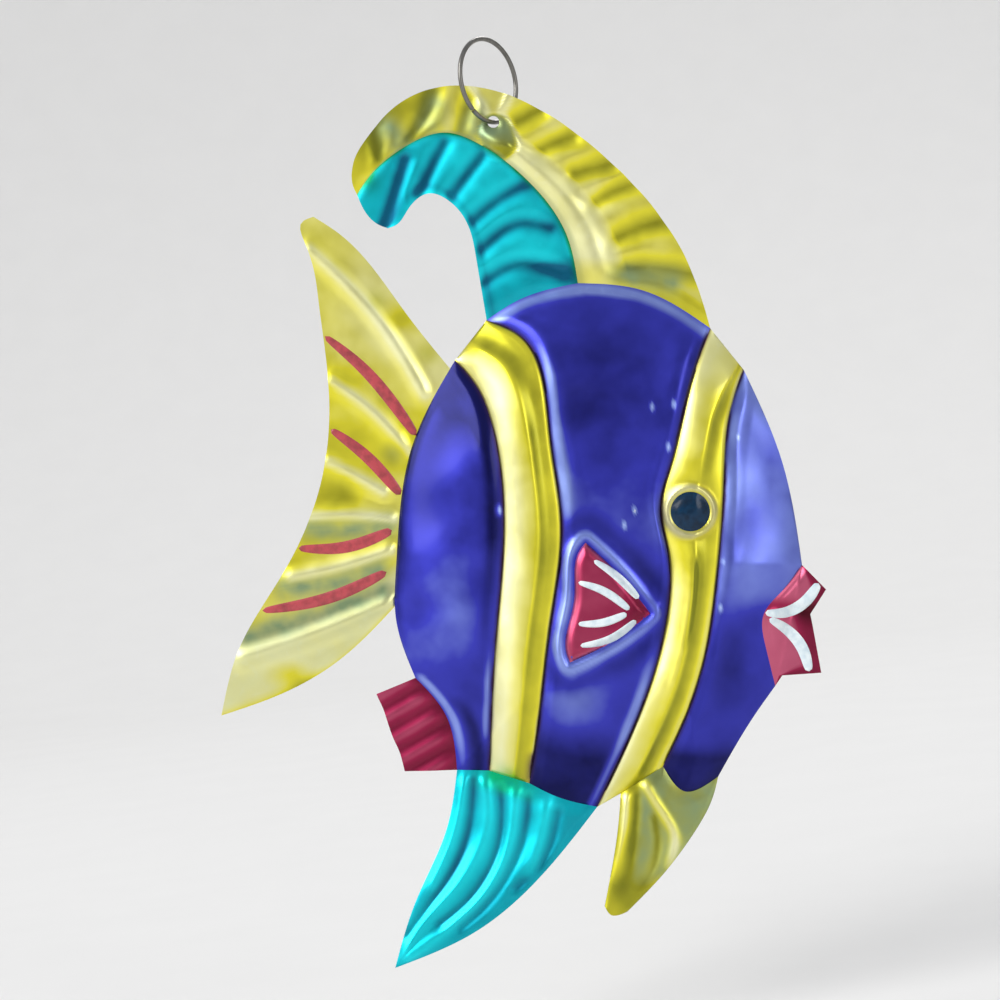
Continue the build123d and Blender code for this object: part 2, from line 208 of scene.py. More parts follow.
# Where each stripe's crest runs: share of its length, then of its width
REAR_CREST = [(0, 0.4), (0.1, 0.5), (0.3, 0.58), (1, 0.57)]
FRONT_CREST = [(0, 0.84), (0.08, 0.7), (0.16, 0.57), (0.26, 0.5), (0.36, 0.5), (0.5, 0.46), (0.75, 0.48),
               (1, 0.42)]

# How pale each stripe is across its width, from how the lacquer lies and from painted light: the facet
# towards the key lamp is painted pale as a highlight, the far facet painted olive as shade; 1 lets the tin
# shine through
REAR_STRIPE_THIN_AND_LIT = [(0, 0.55), (0.08, 0.95), (0.25, 0.88), (0.45, 0.62), (0.57, 0.5), (0.62, 0.4),
                    (0.68, 0.14), (0.8, 0.22), (0.92, 0.36), (0.97, 0.5), (1, 0.2)]
FRONT_STRIPE_THIN_AND_LIT = [(0, 0.45), (0.1, 0.72), (0.35, 0.58), (0.55, 0.5), (0.62, 0.36), (0.68, 0.12),
                     (0.8, 0.22), (0.93, 0.55), (1, 0.3)]

# Ridges and creases of the fins by their middle lines
TAIL_RIDGES = [[(-27.3, -19), (-22, -24), (-16, -31), (-10.2, -40.6)],
               [(-23.9, -38.6), (-18, -43), (-12.4, -49.2)],
               [(-24.4, -50.6), (-20.5, -52.6), (-16.4, -55)],
               [(-27, -58.8), (-21, -58.5), (-14.9, -59.2)], [(-30, -67.8), (-22, -66), (-15.2, -63.8)],
               [(-37.2, -79.8), (-26, -76), (-15.1, -71.4)]]
TAIL_GREENS = [[(-27.4, -60.8), (-21, -60.7), (-15.5, -60)], [(-31, -69.6), (-24, -68.6), (-17, -66.4)],
               [(-36.4, -76.4), (-28, -74), (-16.5, -70)]]
TAIL_SPOTS = [(-17.4, -26.6), (-9.8, -34.6), (-15, -49.6)]
TAIL_GOLDS = [(-30, -82.4, 1.0), (-23.4, -55.7, 0.5), (-14.2, -29.0, 0.5), (-22.6, -38.0, 0.35)]
ANAL_RIDGES = [[(-4.2, -97.4), (-5.4, -104), (-7.4, -110), (-9.2, -113.5)],
               [(-1.3, -98), (-0.9, -105), (-2.8, -110), (-5.4, -114), (-9.5, -118), (-13.4, -123.6)],
               [(3.4, -99.6), (2.7, -105.5), (1, -111), (-1.5, -115), (-5.5, -119), (-12.6, -124.4)],
               [(7.9, -101.2), (7.2, -106), (5.5, -111.6)]]
ANAL_CREASES = [[(-3, -98), (-3.6, -105), (-5.5, -110.5), (-8.6, -115.5), (-12.6, -121)],
                [(1.1, -99.6), (1, -107), (-0.6, -111.5), (-3.3, -115.6), (-8, -119.6)],
                [(5.2, -101), (4.4, -107), (2.4, -111.6), (-0.6, -116), (-5, -120)],
                [(9.6, -103), (8.7, -107), (6.9, -110.6), (3.6, -114)]]
PELVIC_RIDGES = [[(19.8, -100.5), (19.4, -105), (18.2, -111), (17.4, -115)],
                 [(22.6, -98.6), (25, -102.6), (27, -106.4), (26.2, -110.8)]]
PELVIC_CREASES = [[(21.2, -100.5), (20.9, -106), (20.2, -111), (18.6, -115.5)],
                  [(24, -103.6), (24.4, -107.5), (23.4, -111.5), (21, -115)]]
TAB_RIB = (-12.8, -87.1)
TAB_RIB_PITCH = 3.3
TAB_RIB_LEAN = math.radians(30)
WEB_CREASES = [[(-13.2, -5.6), (-14.6, -10), (-16.3, -15.3)], [(-7.3, -3), (-9.6, -7.4), (-11.1, -10.7)],
               [(-1.6, -4.8), (-3.6, -7.4), (-6.3, -11)], [(5, -9.2), (1, -11.4), (-3.2, -14.8)],
               [(8.4, -15.8), (4, -15.2), (-1.9, -19.1)], [(10.2, -22.5), (4, -21.2), (-1.7, -24.1)]]
CREST_CREASES = [[(20.8, -9.2), (17, -10.8), (13, -13.4)], [(26.2, -14.6), (21.5, -15.8), (16.6, -18.2)],
                 [(17.6, -6.2), (15, -6.8), (12.2, -7.6)], [(11.6, -2.2), (8.8, -3.2), (5.8, -5)],
                 [(6.8, 1.7), (4.8, 0.8), (3, -0.2)], [(30, -22.8), (23, -21.6), (14.4, -22.8)],
                 [(-9.2, 4.4), (-10.4, 1.2), (-12.6, -2.6)], [(-3.4, 3.4), (-4.2, 1), (-5, -1.4)],
                 [(-17.8, -0.8), (-17.5, -3), (-17, -5.4)]]
CREST_GREYS = [[(-8.4, 2.2), (-9.4, -0.4)], [(-2.4, 1.2), (-3.2, -1)], [(-15.4, -1), (-14.4, -3)],
               [(26.6, -23.6), (19, -22.9)]]

# Small upright pale spots on the panels, some bare tin where the lacquer is knocked off and some painted
# glints of reflected light, and the palest level of lacquer and painted light elsewhere
CHIPS_AND_GLINTS = [(36.2, -47), (33.8, -56.8), (33.9, -65.4), (33.5, -72.2), (23.4, -42.6), (26.6, -42.2),
         (20.8, -57.8), (25.8, -48.5), (1, -57.8), (19.3, -60)]
CHIP_AND_GLINT_R = 0.46
CHIP_AND_GLINT_STRETCH = 1.9
CHIP_AND_GLINT_LEVEL = 1.2
THINNEST_AND_LIGHTEST = 0.86

# Tints that bleed in along the edges of each lacquer, and the grey in the white strokes
EDGE_STAINS = {
    "purple": (0.03, 0.012, 0.08), "yellow": (0.1, 0.05, 0.06), "fin_yellow": (0.27, 0.37, 0.19),
    "teal": (0.0, 0.26, 0.07), "fin_teal": (0.0, 0.6, 0.25), "red": (0.3, 0.05, 0.2),
}
BRUSH_GREY = (0.6, 0.72, 0.78)

# How far paint stands off the face below it, and the eye's dome, in millimetres
PECTORAL_LIFT = 0.06
STROKE_LIFT = 0.02
EYE_LIFT = 0.03
EYE_DOME = 0.35

# Corners closer than this are one, in millimetres
COAT_MERGE = 0.002
STROKE_MERGE = 0.001
SHEET_MERGE = 0.01
BOARD_MERGE = 1.0

SHARP_ANGLE = math.radians(60)
RAY_START = 100
RING_SPLIT = math.radians(2.5)
RING_SPLIT_AT = math.radians(135)
RING_TURN = math.radians(49)

# The stage: name, place, size and power of each lamp, the light of the room, and the middle of the view
LAMPS = [
    ("key_light", (-1.5, -1.3, 1.1), 1.7, 17.5),
    ("fill_light", (1.6, -1.7, 0.4), 1.0, 3.3),
    ("back_light", (0.4, 1.2, 1.3), 0.8, 4.6),
]
LAMPS_AIM = Vector((0, 0, -0.07))
LAMP_SPREAD = math.radians(120)
STUDIO_TINT = (0.9, 0.93, 1.0, 1)
STUDIO_STRENGTH = 0.55
FLOOR_GAP = 0.015
VIEW_MIDDLE = (1.0, -56.3)


def curve(points, cells):
    """Points spaced evenly along the smooth curve through the given ones."""
    knots = np.array(points, dtype=float)
    gaps = np.hypot(*np.diff(knots, axis=0).T)
    at = np.concatenate([[0], np.cumsum(gaps)])
    size = len(knots)
    matrix = np.eye(size)
    right = np.zeros((size, 2))
    for i in range(1, size - 1):
        matrix[i, i - 1:i + 2] = gaps[i - 1], 2 * (gaps[i - 1] + gaps[i]), gaps[i]
        right[i] = 6 * ((knots[i + 1] - knots[i]) / gaps[i] - (knots[i] - knots[i - 1]) / gaps[i - 1])
    bend = np.linalg.solve(matrix, right)
    fine = np.linspace(0, at[-1], 20 * cells)
    i = np.clip(np.searchsorted(at, fine) - 1, 0, size - 2)
    gap = gaps[i][:, None]
    a = (at[i + 1] - fine)[:, None] / gap
    b = 1 - a
    spots = a * knots[i] + b * knots[i + 1]
    spots += ((a**3 - a) * bend[i] + (b**3 - b) * bend[i + 1]) * gap**2 / 6
    run = np.concatenate([[0], np.cumsum(np.hypot(*np.diff(spots, axis=0).T))])
    even = np.linspace(0, run[-1], cells + 1)
    line = np.stack([np.interp(even, run, spots[:, k]) for k in (0, 1)], axis=1)
    line[0], line[-1] = knots[0], knots[-1]
    return line


def chained(*lines):
    """Lines that follow each other as one, with each shared end once."""
    return np.concatenate([lines[0]] + [line[1:] for line in lines[1:]])


def held(point, cells):
    """An edge of a patch that is drawn together in one point."""
    return np.repeat(np.array([point], dtype=float), cells + 1, axis=0)


def spanned(first, second, start, end):
    """A net of points between two edges, closed at its ends by two more."""
    u = np.linspace(0, 1, len(first))[:, None, None]
    v = np.linspace(0, 1, len(start))[None, :, None]
    ruled = (1 - v) * first[:, None] + v * second[:, None] + (1 - u) * start[None] + u * end[None]
    corners = (1 - u) * ((1 - v) * first[0] + v * second[0]) + u * ((1 - v) * first[-1] + v * second[-1])
    return ruled - corners


def nearest(line, x, z):
    """Distance from each point to a line."""
    best = np.full(x.shape, np.inf)
    for (ax, az), (bx, bz) in zip(line, line[1:]):
        length = (bx - ax)**2 + (bz - az)**2
        if length > 0:
            t = np.clip(((x - ax) * (bx - ax) + (z - az) * (bz - az)) / length, 0, 1)
            best = np.minimum(best, np.hypot(x - ax - t * (bx - ax), z - az - t * (bz - az)))
    return best


def depth(line, x, z):
    """Distance inside a closed line, negative outside it."""
    inside = np.zeros(x.shape, dtype=bool)
    for (ax, az), (bx, bz) in zip(line, line[1:]):
        if az != bz:
            inside ^= ((az > z) != (bz > z)) & (x < ax + (z - az) * (bx - ax) / (bz - az))
    gap = nearest(line, x, z)
    return np.where(inside, gap, -gap)


def ramp(distance, width):
    """0 at an edge, 1 from a width inside it, rounded over at the top."""
    t = np.clip(distance / width, 0, 1)
    return 1 - (1 - t)**2


def eased(distance, width):
    """0 at an edge, 1 from a width inside it, with no kink at either end."""
    t = np.clip(distance / width, 0, 1)
    return t * t * (3 - 2 * t)


def bump(distance, width):
    """1 in the middle, falling away over a width on both sides."""
    return np.exp(-((distance / width)**2))


def shaped(keys, t):
    """A cross-section's height at t, smooth between its keys and never past them."""
    at, height = np.array(keys).T
    slope = np.diff(height) / np.diff(at)
    tangent = np.zeros(len(at))
    same = slope[:-1] * slope[1:] > 0
    tangent[1:-1][same] = 2 * slope[:-1][same] * slope[1:][same] / (slope[:-1] + slope[1:])[same]
    tangent[0], tangent[-1] = slope[0], slope[-1]
    i = np.clip(np.searchsorted(at, t) - 1, 0, len(at) - 2)
    gap = at[i + 1] - at[i]
    s = np.clip((t - at[i]) / gap, 0, 1)
    low = height[i] * (1 + 2 * s) * (1 - s)**2 + tangent[i] * gap * s * (1 - s)**2
    return low + height[i + 1] * s * s * (3 - 2 * s) + tangent[i + 1] * gap * s * s * (s - 1)


def outlines():
    """Every edge that coats share, drawn once so that neighbours meet point for point."""
    runs = {
        "rear_back": (REAR_STRIPE_BACK, LONG_CELLS),
        "rear_front": (REAR_STRIPE_FRONT, LONG_CELLS),
        "front_back": (FRONT_STRIPE_BACK, LONG_CELLS),
        "front_front": (FRONT_STRIPE_FRONT, LONG_CELLS),
        "forehead": (FOREHEAD, FOREHEAD_CELLS),
        "mouth_root": (MOUTH_ROOT, MOUTH_CELLS),
        "chin": (CHIN, CHIN_CELLS),
        "crown_web": (CROWN_WEB, WEB_CELLS),
        "crown_crest": (CROWN_CREST, CREST_CELLS),
        "cap": ([STRIPE_CAP, CROWN_BACK], STRIPE_CELLS),
        "brow": ([CROWN_FRONT, BROW], TOE_BACK_CELLS + TOE_CELLS),
        "belly_rear": ([VENT_FRONT, STRIPE_FOOT_BACK], REAR_CELLS),
        "belly_stripe": ([STRIPE_FOOT_BACK, STRIPE_FOOT_FRONT], STRIPE_CELLS),
        "belly_middle": (BELLY, MIDDLE_CELLS),
        "toe_back": ([TOE_BACK, TOE_MIDDLE], TOE_BACK_CELLS),
        "toe": ([TOE_MIDDLE, THROAT_BACK], TOE_CELLS),
        "throat": (THROAT, HEAD_CELLS),
        "web_top": (WEB_TOP, DORSAL_CELLS),
    }
    lines = {name: curve(*run) for name, run in runs.items()}
    lines["flank"] = chained(curve(FLANK, FLANK_CELLS), curve(VENT, VENT_CELLS))
    corners = zip(LIP_CORNERS, LIP_CORNERS[1:], LIP_RUNS)
    lines["lips"] = chained(*[curve([start, end], cells) for start, end, cells in corners])
    above = [lines[name] for name in ("crown_web", "crown_crest", "brow", "forehead")]
    below = ("throat", "toe", "toe_back", "belly_middle", "belly_stripe", "belly_rear", "flank")
    lines["body"] = chained(*above, curve([LIP_TOP, LIP_END], MOUTH_CELLS), lines["chin"],
                            *[lines[name][::-1] for name in below], lines["cap"])
    fin_edges = [curve(edge, PECTORAL_EDGE_CELLS) for edge in (PECTORAL_TOP, PECTORAL_BOTTOM, PECTORAL_BACK)]
    lines["pectoral"] = chained(fin_edges[0], fin_edges[1][::-1], fin_edges[2][::-1])
    return lines


def nets(lines):
    """The flat net of points of each coat."""
    flank = lines["flank"]
    tail_root = flank[TAIL_ROOT_TOP:TAIL_ROOT_END + 1]
    belly = chained(lines["belly_rear"], lines["belly_stripe"], lines["belly_middle"])
    head_edge = chained(lines["forehead"], lines["mouth_root"], lines["chin"])
    pelvic_root = chained(lines["toe"], lines["throat"])
    crown = chained(lines["crown_web"], lines["crown_crest"])
    toe = chained(lines["toe_back"], lines["toe"])
    tail_top = curve([tuple(tail_root[0])] + TAIL_TOP, TAIL_CELLS)
    tail_bottom = curve([tuple(tail_root[-1])] + TAIL_BOTTOM, TAIL_CELLS)
    tail_back = curve(TAIL_BACK, len(tail_root) - 1)
    edges = {
        "rear_panel": (flank, lines["rear_back"], held(STRIPE_CAP, REAR_CELLS), lines["belly_rear"]),
        "rear_stripe": (lines["rear_back"], lines["rear_front"], lines["cap"], lines["belly_stripe"]),
        "middle_panel": (lines["rear_front"], lines["front_back"], crown, lines["belly_middle"]),
        "front_stripe": (lines["front_back"], lines["front_front"], lines["brow"], toe),
        "head_panel": (lines["front_front"], head_edge, held(BROW, HEAD_CELLS), lines["throat"]),
        "dorsal_crest": (curve(DORSAL_TOP, DORSAL_CELLS), lines["web_top"], lines["crown_crest"][::-1],
                         curve([DORSAL_TOP[-1], (-20.9, -9.5), HOOK_SPLIT], CREST_CELLS)),
        "dorsal_web": (lines["web_top"], curve(HOOK_INSIDE, DORSAL_CELLS), lines["crown_web"][::-1],
                       curve(HOOK_END, WEB_CELLS)),
        "tail": (tail_top, tail_bottom, tail_root, tail_back),
        "anal_fin": (curve(ANAL_BACK, ANAL_CELLS), curve(ANAL_FRONT, ANAL_CELLS), belly,
                     held(ANAL_BACK[-1], len(belly) - 1)),
        "pelvic_fin": (curve(PELVIC_BACK, PELVIC_CELLS), curve(PELVIC_FRONT, PELVIC_CELLS), pelvic_root,
                       curve(PELVIC_TIP, len(pelvic_root) - 1)),
        "vent_tab": (curve(TAB_TOP, TAB_CELLS), curve(TAB_BOTTOM, TAB_CELLS), flank[FLANK_CELLS:],
                     curve(TAB_BACK, VENT_CELLS)),
        "mouth": (held(LIP_TOP, LIP_CELLS), held(LIP_END, LIP_CELLS), lines["mouth_root"], lines["lips"]),
    }
    return {name: spanned(*four) for name, four in edges.items()}


def embossed(sizes, lines, x, z):
    """The form that runs on from coat to coat: the domed body, pectoral fin, eye and droplet."""
    rise = sizes.body_rise / MM * ramp(depth(lines["body"], x, z), sizes.body_shoulder / MM)
    into_fin = depth(lines["pectoral"], x, z)
    fin_frame = 0.4 * bump(into_fin + 1.0, 0.7)
    rise += sizes.pectoral_rise / MM * ramp(into_fin, 1.4)
    rise += fin_frame
    eye_r = sizes.eye_radius / MM
    from_eye = np.hypot(x - EYE_AT[0], z - EYE_AT[1])
    eye_rim = 0.55 * bump(from_eye - eye_r - 0.5, 0.5)
    eye_dome = 0.7 * ramp(eye_r - from_eye, eye_r)
    rise += eye_rim + eye_dome
    drop = 0.9 * ramp(2.5 - nearest(DROPLET, x, z), 2.2)
    for fold in HOLE_FOLDS:
        drop += 0.3 * bump(nearest(fold, x, z), 0.6)
    return rise + drop * (1 - bump(np.hypot(x, z), HOLE_PAD))


class CoatPlan:
    """Where each point of a coat's net lies in the drawing, along and across the coat, and in the body."""

    def __init__(self, sizes, lines, net):
        rows, columns = net.shape[:2]
        steps_along = np.hypot(*np.moveaxis(np.diff(net, axis=0), 2, 0))
        steps_across = np.hypot(*np.moveaxis(np.diff(net, axis=1), 2, 0))
        self.lines = lines
        self.x, self.z = net[..., 0], net[..., 1]
        self.u = np.linspace(0, 1, rows)[:, None] * np.ones((1, columns))
        self.v = np.linspace(0, 1, columns)[None, :] * np.ones((rows, 1))
        self.along = np.concatenate([np.zeros((1, columns)), np.cumsum(steps_along, axis=0)])
        self.across = np.concatenate([np.zeros((rows, 1)), np.cumsum(steps_across, axis=1)], axis=1)
        self.width = self.across[:, -1:]
        self.to_far_edge = self.width - self.across
        self.rib = sizes.rib_rise / MM
        self.stripe = sizes.stripe_rise / MM
        self.inside_body = ramp(depth(lines["body"], self.x, self.z), BODY_EDGE_FADE)

    def reach(self, spot):
        """Distance of each point from a spot."""
        return np.hypot(self.x - spot[0], self.z - spot[1])

    def folded(self, lines, width):
        """1 along each of the given lines, falling away over a width on both sides."""
        gaps = [nearest(curve(line, FOLD_CELLS), self.x, self.z) for line in lines]
        return np.max([bump(gap, width) for gap in gaps], axis=0)

    def dimpled(self, count, reach, seed):
        """Soft hammer marks, each a shallow hollow or swelling."""
        dice = np.random.default_rng(seed)
        low, high = (self.x.min(), self.z.min()), (self.x.max(), self.z.max())
        field = np.zeros(self.x.shape)
        for _ in range(count):
            spot = dice.uniform(low, high)
            size = reach * dice.uniform(0.6, 1.4)
            field += dice.uniform(-1, 1) * bump(self.reach(spot), size)
        return field

    def ribbed(self, ridge, crease, share, root, edge):
        """Ribs of a fin, sunk to nothing at its root and towards its edges."""
        fade = ramp(self.along, root) * ramp(self.across, edge) * ramp(self.to_far_edge, edge)
        return self.rib * (0.4 + share * ridge - share * crease) * fade


def hammered_panel(at, from_stripe, seed):
    """A lightly hammered pillow beside each stripe, and a patchy share for the highlights painted along its
    rim.
    """
    hammer = at.dimpled(42, 4.2, seed)
    rise = shaped(PANEL_SHAPE, from_stripe) + 0.26 * hammer * ramp(from_stripe, 4)
    # run: a patchy share that breaks up the highlights painted along the rims.
    run = np.clip(0.4 + 0.8 * at.dimpled(90, 2.6, seed + 20), 0, 1)
    return rise * at.inside_body, 0.42 + 0.1 * hammer, bump(from_stripe, 0.35), run


def rear_panel(at):
    """Purple, with painted shade at the top and beside the stripe, and painted highlights along the vent tab
    and low along the stripe.
    """
    u, across, to_stripe = at.u, at.across, at.to_far_edge
    rise, thin, stain, run = hammered_panel(at, to_stripe, SEED)
    upper = ramp(0.72 - u, 0.15)
    top_shade = 0.2 * bump(u, 0.22) + 0.12 * ramp(0.56 - u, 0.2)
    stripe_shade = 0.14 * bump(to_stripe - 2.2, 2.2) + 0.25 * upper * bump(to_stripe - 1.4, 1.2)
    flank_shade = upper * (0.16 * bump(across - 3.5, 3.5) + 0.25 * bump(across - 0.4, 0.7))
    vent_shade = 0.25 * bump(across - 3.6, 1.3) * ramp(u - 0.82, 0.08)
    low_cloud = 0.16 * bump(u - 0.64, 0.12)
    # Painted highlights: pale bands along the vent tab and low along the stripe.
    vent_rim_highlight = 0.65 * bump(across - 1.0, 0.75) * ramp(u - 0.765, 0.03) * ramp(1.02 - u, 0.2)
    stripe_rim_highlight = 0.5 * run * bump(to_stripe - 0.8, 0.5) * ramp(u - 0.6, 0.3)
    thin += low_cloud + vent_rim_highlight + stripe_rim_highlight - top_shade - stripe_shade - flank_shade - vent_shade
    return rise, thin, stain


def middle_panel(at):
    """Purple, with painted highlights along the crown, beside both stripes and around the pectoral fin, and
    painted shade darkest at the belly.
    """
    u, v, along, across, to_front = at.u, at.v, at.along, at.across, at.to_far_edge
    rise, thin, stain, run = hammered_panel(at, np.minimum(np.minimum(across, to_front), along), SEED + 1)
    into_fin = depth(at.lines["pectoral"], at.x, at.z)
    upper_shade = 0.13 * eased(0.4 - u, 0.3) + 0.18 * bump(np.hypot((at.x - 15) / 6, (at.z + 43) / 3), 1)
    belly_shade = 0.45 * eased(u - 0.82, 0.12)
    fin_shade = 0.22 * bump(into_fin + 3.4, 1.4)
    low_cloud = 0.06 * bump(u - 0.42, 0.14) + 0.26 * bump(u - 0.79, 0.06) * bump(v - 0.42, 0.3)
    crown_cloud = 0.14 * bump(along - 4, 3) * bump(v - 0.55, 0.3)
    # Painted highlights along the crown, beside both stripes and around the pectoral fin.
    crown_rim_highlight = (0.4 + 0.35 * run) * bump(along - 1.0, 1.0)
    rear_rim_highlight = (0.4 + 0.4 * run) * bump(across - 1.2, 0.85) * ramp(0.48 - u, 0.1) * ramp(u - 0.1, 0.12)
    front_rim_highlight = (0.4 + 0.4 * run) * bump(to_front - 1, 0.7) * eased(u - 0.64, 0.15)
    fin_rim_highlight = (0.25 + 0.45 * run) * bump(into_fin + 1.2, 0.65)
    thin += low_cloud + crown_cloud + crown_rim_highlight + rear_rim_highlight + front_rim_highlight + fin_rim_highlight
    thin -= upper_shade + belly_shade + fin_shade
    return rise, thin, stain * ramp(along, 2.0)


def head_panel(at):
    """Purple, with a painted highlight over the forehead, and painted shade at the throat and in the fold
    behind the mouth.
    """
    u, across = at.u, at.across
    rise, thin, stain, run = hammered_panel(at, across, SEED + 2)
    fold = bump(nearest(HEAD_FOLD, at.x, at.z), 2.2) * ramp(at.z + 88, 6)
    from_mouth = nearest(at.lines["mouth_root"], at.x, at.z)
    # The forehead term paints a highlight on the upper head, a painted highlight runs along the stripe, and
    # the throat and fold terms paint shade.
    forehead = 0.36 * eased(0.72 - u, 0.34)
    throat_shade = 0.08 + 0.5 * eased(-91.6 - at.z, 4.5)
    stripe_rim_highlight = 0.25 * run * bump(across - 0.9, 0.6) * ramp(0.7 - u, 0.2)
    thin += forehead + stripe_rim_highlight - throat_shade - 0.13 * fold
    return (rise - 0.4 * fold * at.inside_body) * ramp(from_mouth, 2.5), thin, stain


def ridged_stripe(at, crest_line, thin_and_lit_shape):
    """Yellow over a ridge whose crest wanders from the middle, stained along both edges."""
    crest = np.interp(at.u, *np.array(crest_line).T)
    behind = at.v / crest * CREST_AT
    before = CREST_AT + (at.v - crest) / (1 - crest) * (1 - CREST_AT)
    facet = np.where(at.v < crest, behind, before)
    ridge = at.stripe * shaped(STRIPE_SHAPE, facet)
    # The level across the stripe paints a highlight on the facet towards the lamp and shade on the far facet.
    return crest, ridge, shaped(thin_and_lit_shape, facet), bump(at.across, 0.25) + bump(at.to_far_edge, 0.25)


def rear_stripe(at):
    """Yellow, darker at its top and stained at its foot."""
    _, ridge, thin, stain = ridged_stripe(at, REAR_CREST, REAR_STRIPE_THIN_AND_LIT)
    thin -= 0.3 * ramp(0.2 - at.u, 0.2) * (thin - 0.3)
    stain += bump(at.to_far_edge, 0.9) * ramp(at.u - 0.93, 0.03)
    return (ridge - GROOVE) * at.inside_body, thin, stain


def front_stripe(at):
    """Yellow, lower and darker around the eye, with a crease below it painted dark as shade."""
    u = at.u
    crest, ridge, thin, stain = ridged_stripe(at, FRONT_CREST, FRONT_STRIPE_THIN_AND_LIT)
    from_eye = at.reach(EYE_AT)
    ridge *= 1 - 0.75 * bump(from_eye, 4.2)
    eye_halo = 0.5 * bump(from_eye - 3.5, 0.6)
    brow = 0.2 * ramp(0.12 - u, 0.1)
    # Painted highlight along the stripe's rear edge low down.
    foot_rim_highlight = 0.3 * bump(at.across - 0.5, 0.6) * ramp(u - 0.75, 0.1)
    thin += (0.3 - thin) * bump(from_eye, 7.0) + eye_halo + brow + foot_rim_highlight
    stain += 0.4 * bump(from_eye - 3.6, 0.8)
    # The crease is sunk and also painted dark as shade.
    crease = bump((at.v - crest) * at.width - 0.2, 0.35) * ramp(u - 0.47, 0.04) * ramp(0.68 - u, 0.1)
    return (ridge - 0.3 * crease - GROOVE) * at.inside_body, thin - 0.5 * crease, stain


def dorsal_crest(at):
    """Yellow, creased across with painted shade in the creases, cream along the web, flat where the ring goes
    through and where it rests.
    """
    v, along = at.v, at.along
    cloud = at.dimpled(70, 3.0, SEED + 4)
    crease = at.folded(CREST_CREASES, 0.9 + 0.9 * (1 - v)) * (0.75 + 0.25 * cloud)
    lower = ramp(0.56 - at.u, 0.12)
    root = ramp(along, 2.5)
    cream = ramp(v - 0.62, 0.2) * lower
    fade = root * ramp((1 - v) * at.width, 2.0) * (1 - 0.85 * cream)
    rise = at.rib * (0.5 - 0.8 * at.folded(CREST_CREASES, 1.7)) * fade
    rise += 0.5 * bump(v - 0.84, 0.09) * lower * root
    for spot in (RING_HOLE, RING_REST):
        rise *= 1 - bump(at.reach(spot), 2.4)
    root_shade = 0.25 * ramp(4.0 - along, 2.5)
    hook_shade = 0.22 * ramp(-7 - at.x, 3)
    # Creases painted dark as shade.
    thin = 0.6 + 0.2 * cloud - 0.6 * crease * (1 - cream)
    thin += (0.86 - thin) * cream - root_shade - hook_shade
    from_drop = nearest(DROPLET, at.x, at.z)
    drop = ramp(2.8 - from_drop, 0.8)
    # A pale line painted as a highlight along the droplet's right side.
    drop_rim_highlight = 0.7 * bump(from_drop - 2.5, 0.4) * ramp(at.x - 1.2, 1.5)
    thin += (0.12 - thin) * drop + drop_rim_highlight
    # The folds by the hole painted pale as highlights.
    for fold in HOLE_FOLDS:
        thin += 0.5 * bump(nearest(fold, at.x, at.z), 0.7)
    web_edge = 0.4 * ramp(v - 0.95, 0.05)
    drop_top = 0.9 * drop * ramp(at.z + 4, 3)
    return rise, thin, web_edge + 0.75 * at.folded(CREST_GREYS, 1.8) + drop_top


def dorsal_web(at):
    """Teal, creased from edge to edge with painted shade in the creases, green along the crest."""
    along, across, to_inside = at.along, at.across, at.to_far_edge
    rise = at.rib * (0.4 - 0.62 * at.folded(WEB_CREASES, 1.5)) * ramp(along, 2.0) * ramp(across, 2.0)
    crest_shade = 0.3 * bump(across, 2.0) * ramp(0.4 - at.u, 0.2)
    root_shade = 0.4 * ramp(4.5 - along, 2.5)
    hook_shade = 0.15 * ramp(-10 - at.x, 3)
    # A painted highlight on the inner edge with painted shade just inside it.
    inside_edge_highlight_and_shade = 0.3 * bump(to_inside, 0.4) - 0.2 * bump(to_inside - 1.2, 0.6)
    thin = 0.78 - 0.72 * at.folded(WEB_CREASES, 1.15) + 0.1 * at.dimpled(40, 4.0, SEED + 6)
    thin += inside_edge_highlight_and_shade - crest_shade - root_shade - hook_shade
    return rise, thin, 1 - ramp(across, 0.9) + bump(at.reach(HOOK_STAIN), 1.5)


def tail(at):
    """Yellow, with ridges painted pale as highlights, green streaks between the lower ones and a cream lower
    lobe.
    """
    ridge = at.folded(TAIL_RIDGES, 0.75)
    green = at.folded(TAIL_GREENS, 1.7)
    spots = np.max([bump(at.reach(spot), 1.6) for spot in TAIL_SPOTS], axis=0)
    golds = [share * bump(np.hypot((at.x - x) / 1.5, at.z - z), 2.2) for x, z, share in TAIL_GOLDS]
    gold = np.max(golds, axis=0)
    lobe = ramp((1 - at.v) * at.width, 2.0) * ramp(at.v - 0.82, 0.1)
    rise = 0.9 * at.rib * at.folded(TAIL_RIDGES, 1.3) * ramp(at.along, 2.5)
    # Ridges painted pale as highlights.
    thin = 0.5 + 0.1 * at.dimpled(50, 4.5, SEED + 3) + 0.46 * ridge + 0.42 * lobe - 0.55 * gold
    thin += 0.16 * ramp(0.2 - at.v, 0.1) - 0.16 * spots
    return rise, thin, 0.9 * green * (1 - 0.8 * ridge) + 0.25 * spots + 0.16 * lobe * (1 - gold)


def anal_fin(at):
    """Teal, with painted highlights on its long ridges and painted shade in its creases, with a green stain
    at the stripe's foot.
    """
    ridge, crease = at.folded(ANAL_RIDGES, 1.0), at.folded(ANAL_CREASES, 0.9)
    crease_shade = 0.5 * crease * (1 - 0.5 * ramp(at.v - 0.6, 0.2))
    front_shade = 0.2 * ramp(at.v - 0.7, 0.25)
    thin = 0.56 + 0.34 * ridge - crease_shade - front_shade
    stain = 1.2 * ramp(3.0 - at.along, 2.0) * bump(at.v - 0.36, 0.15)
    return at.ribbed(ridge, crease, 0.6, 3.0, 1.5), thin, stain


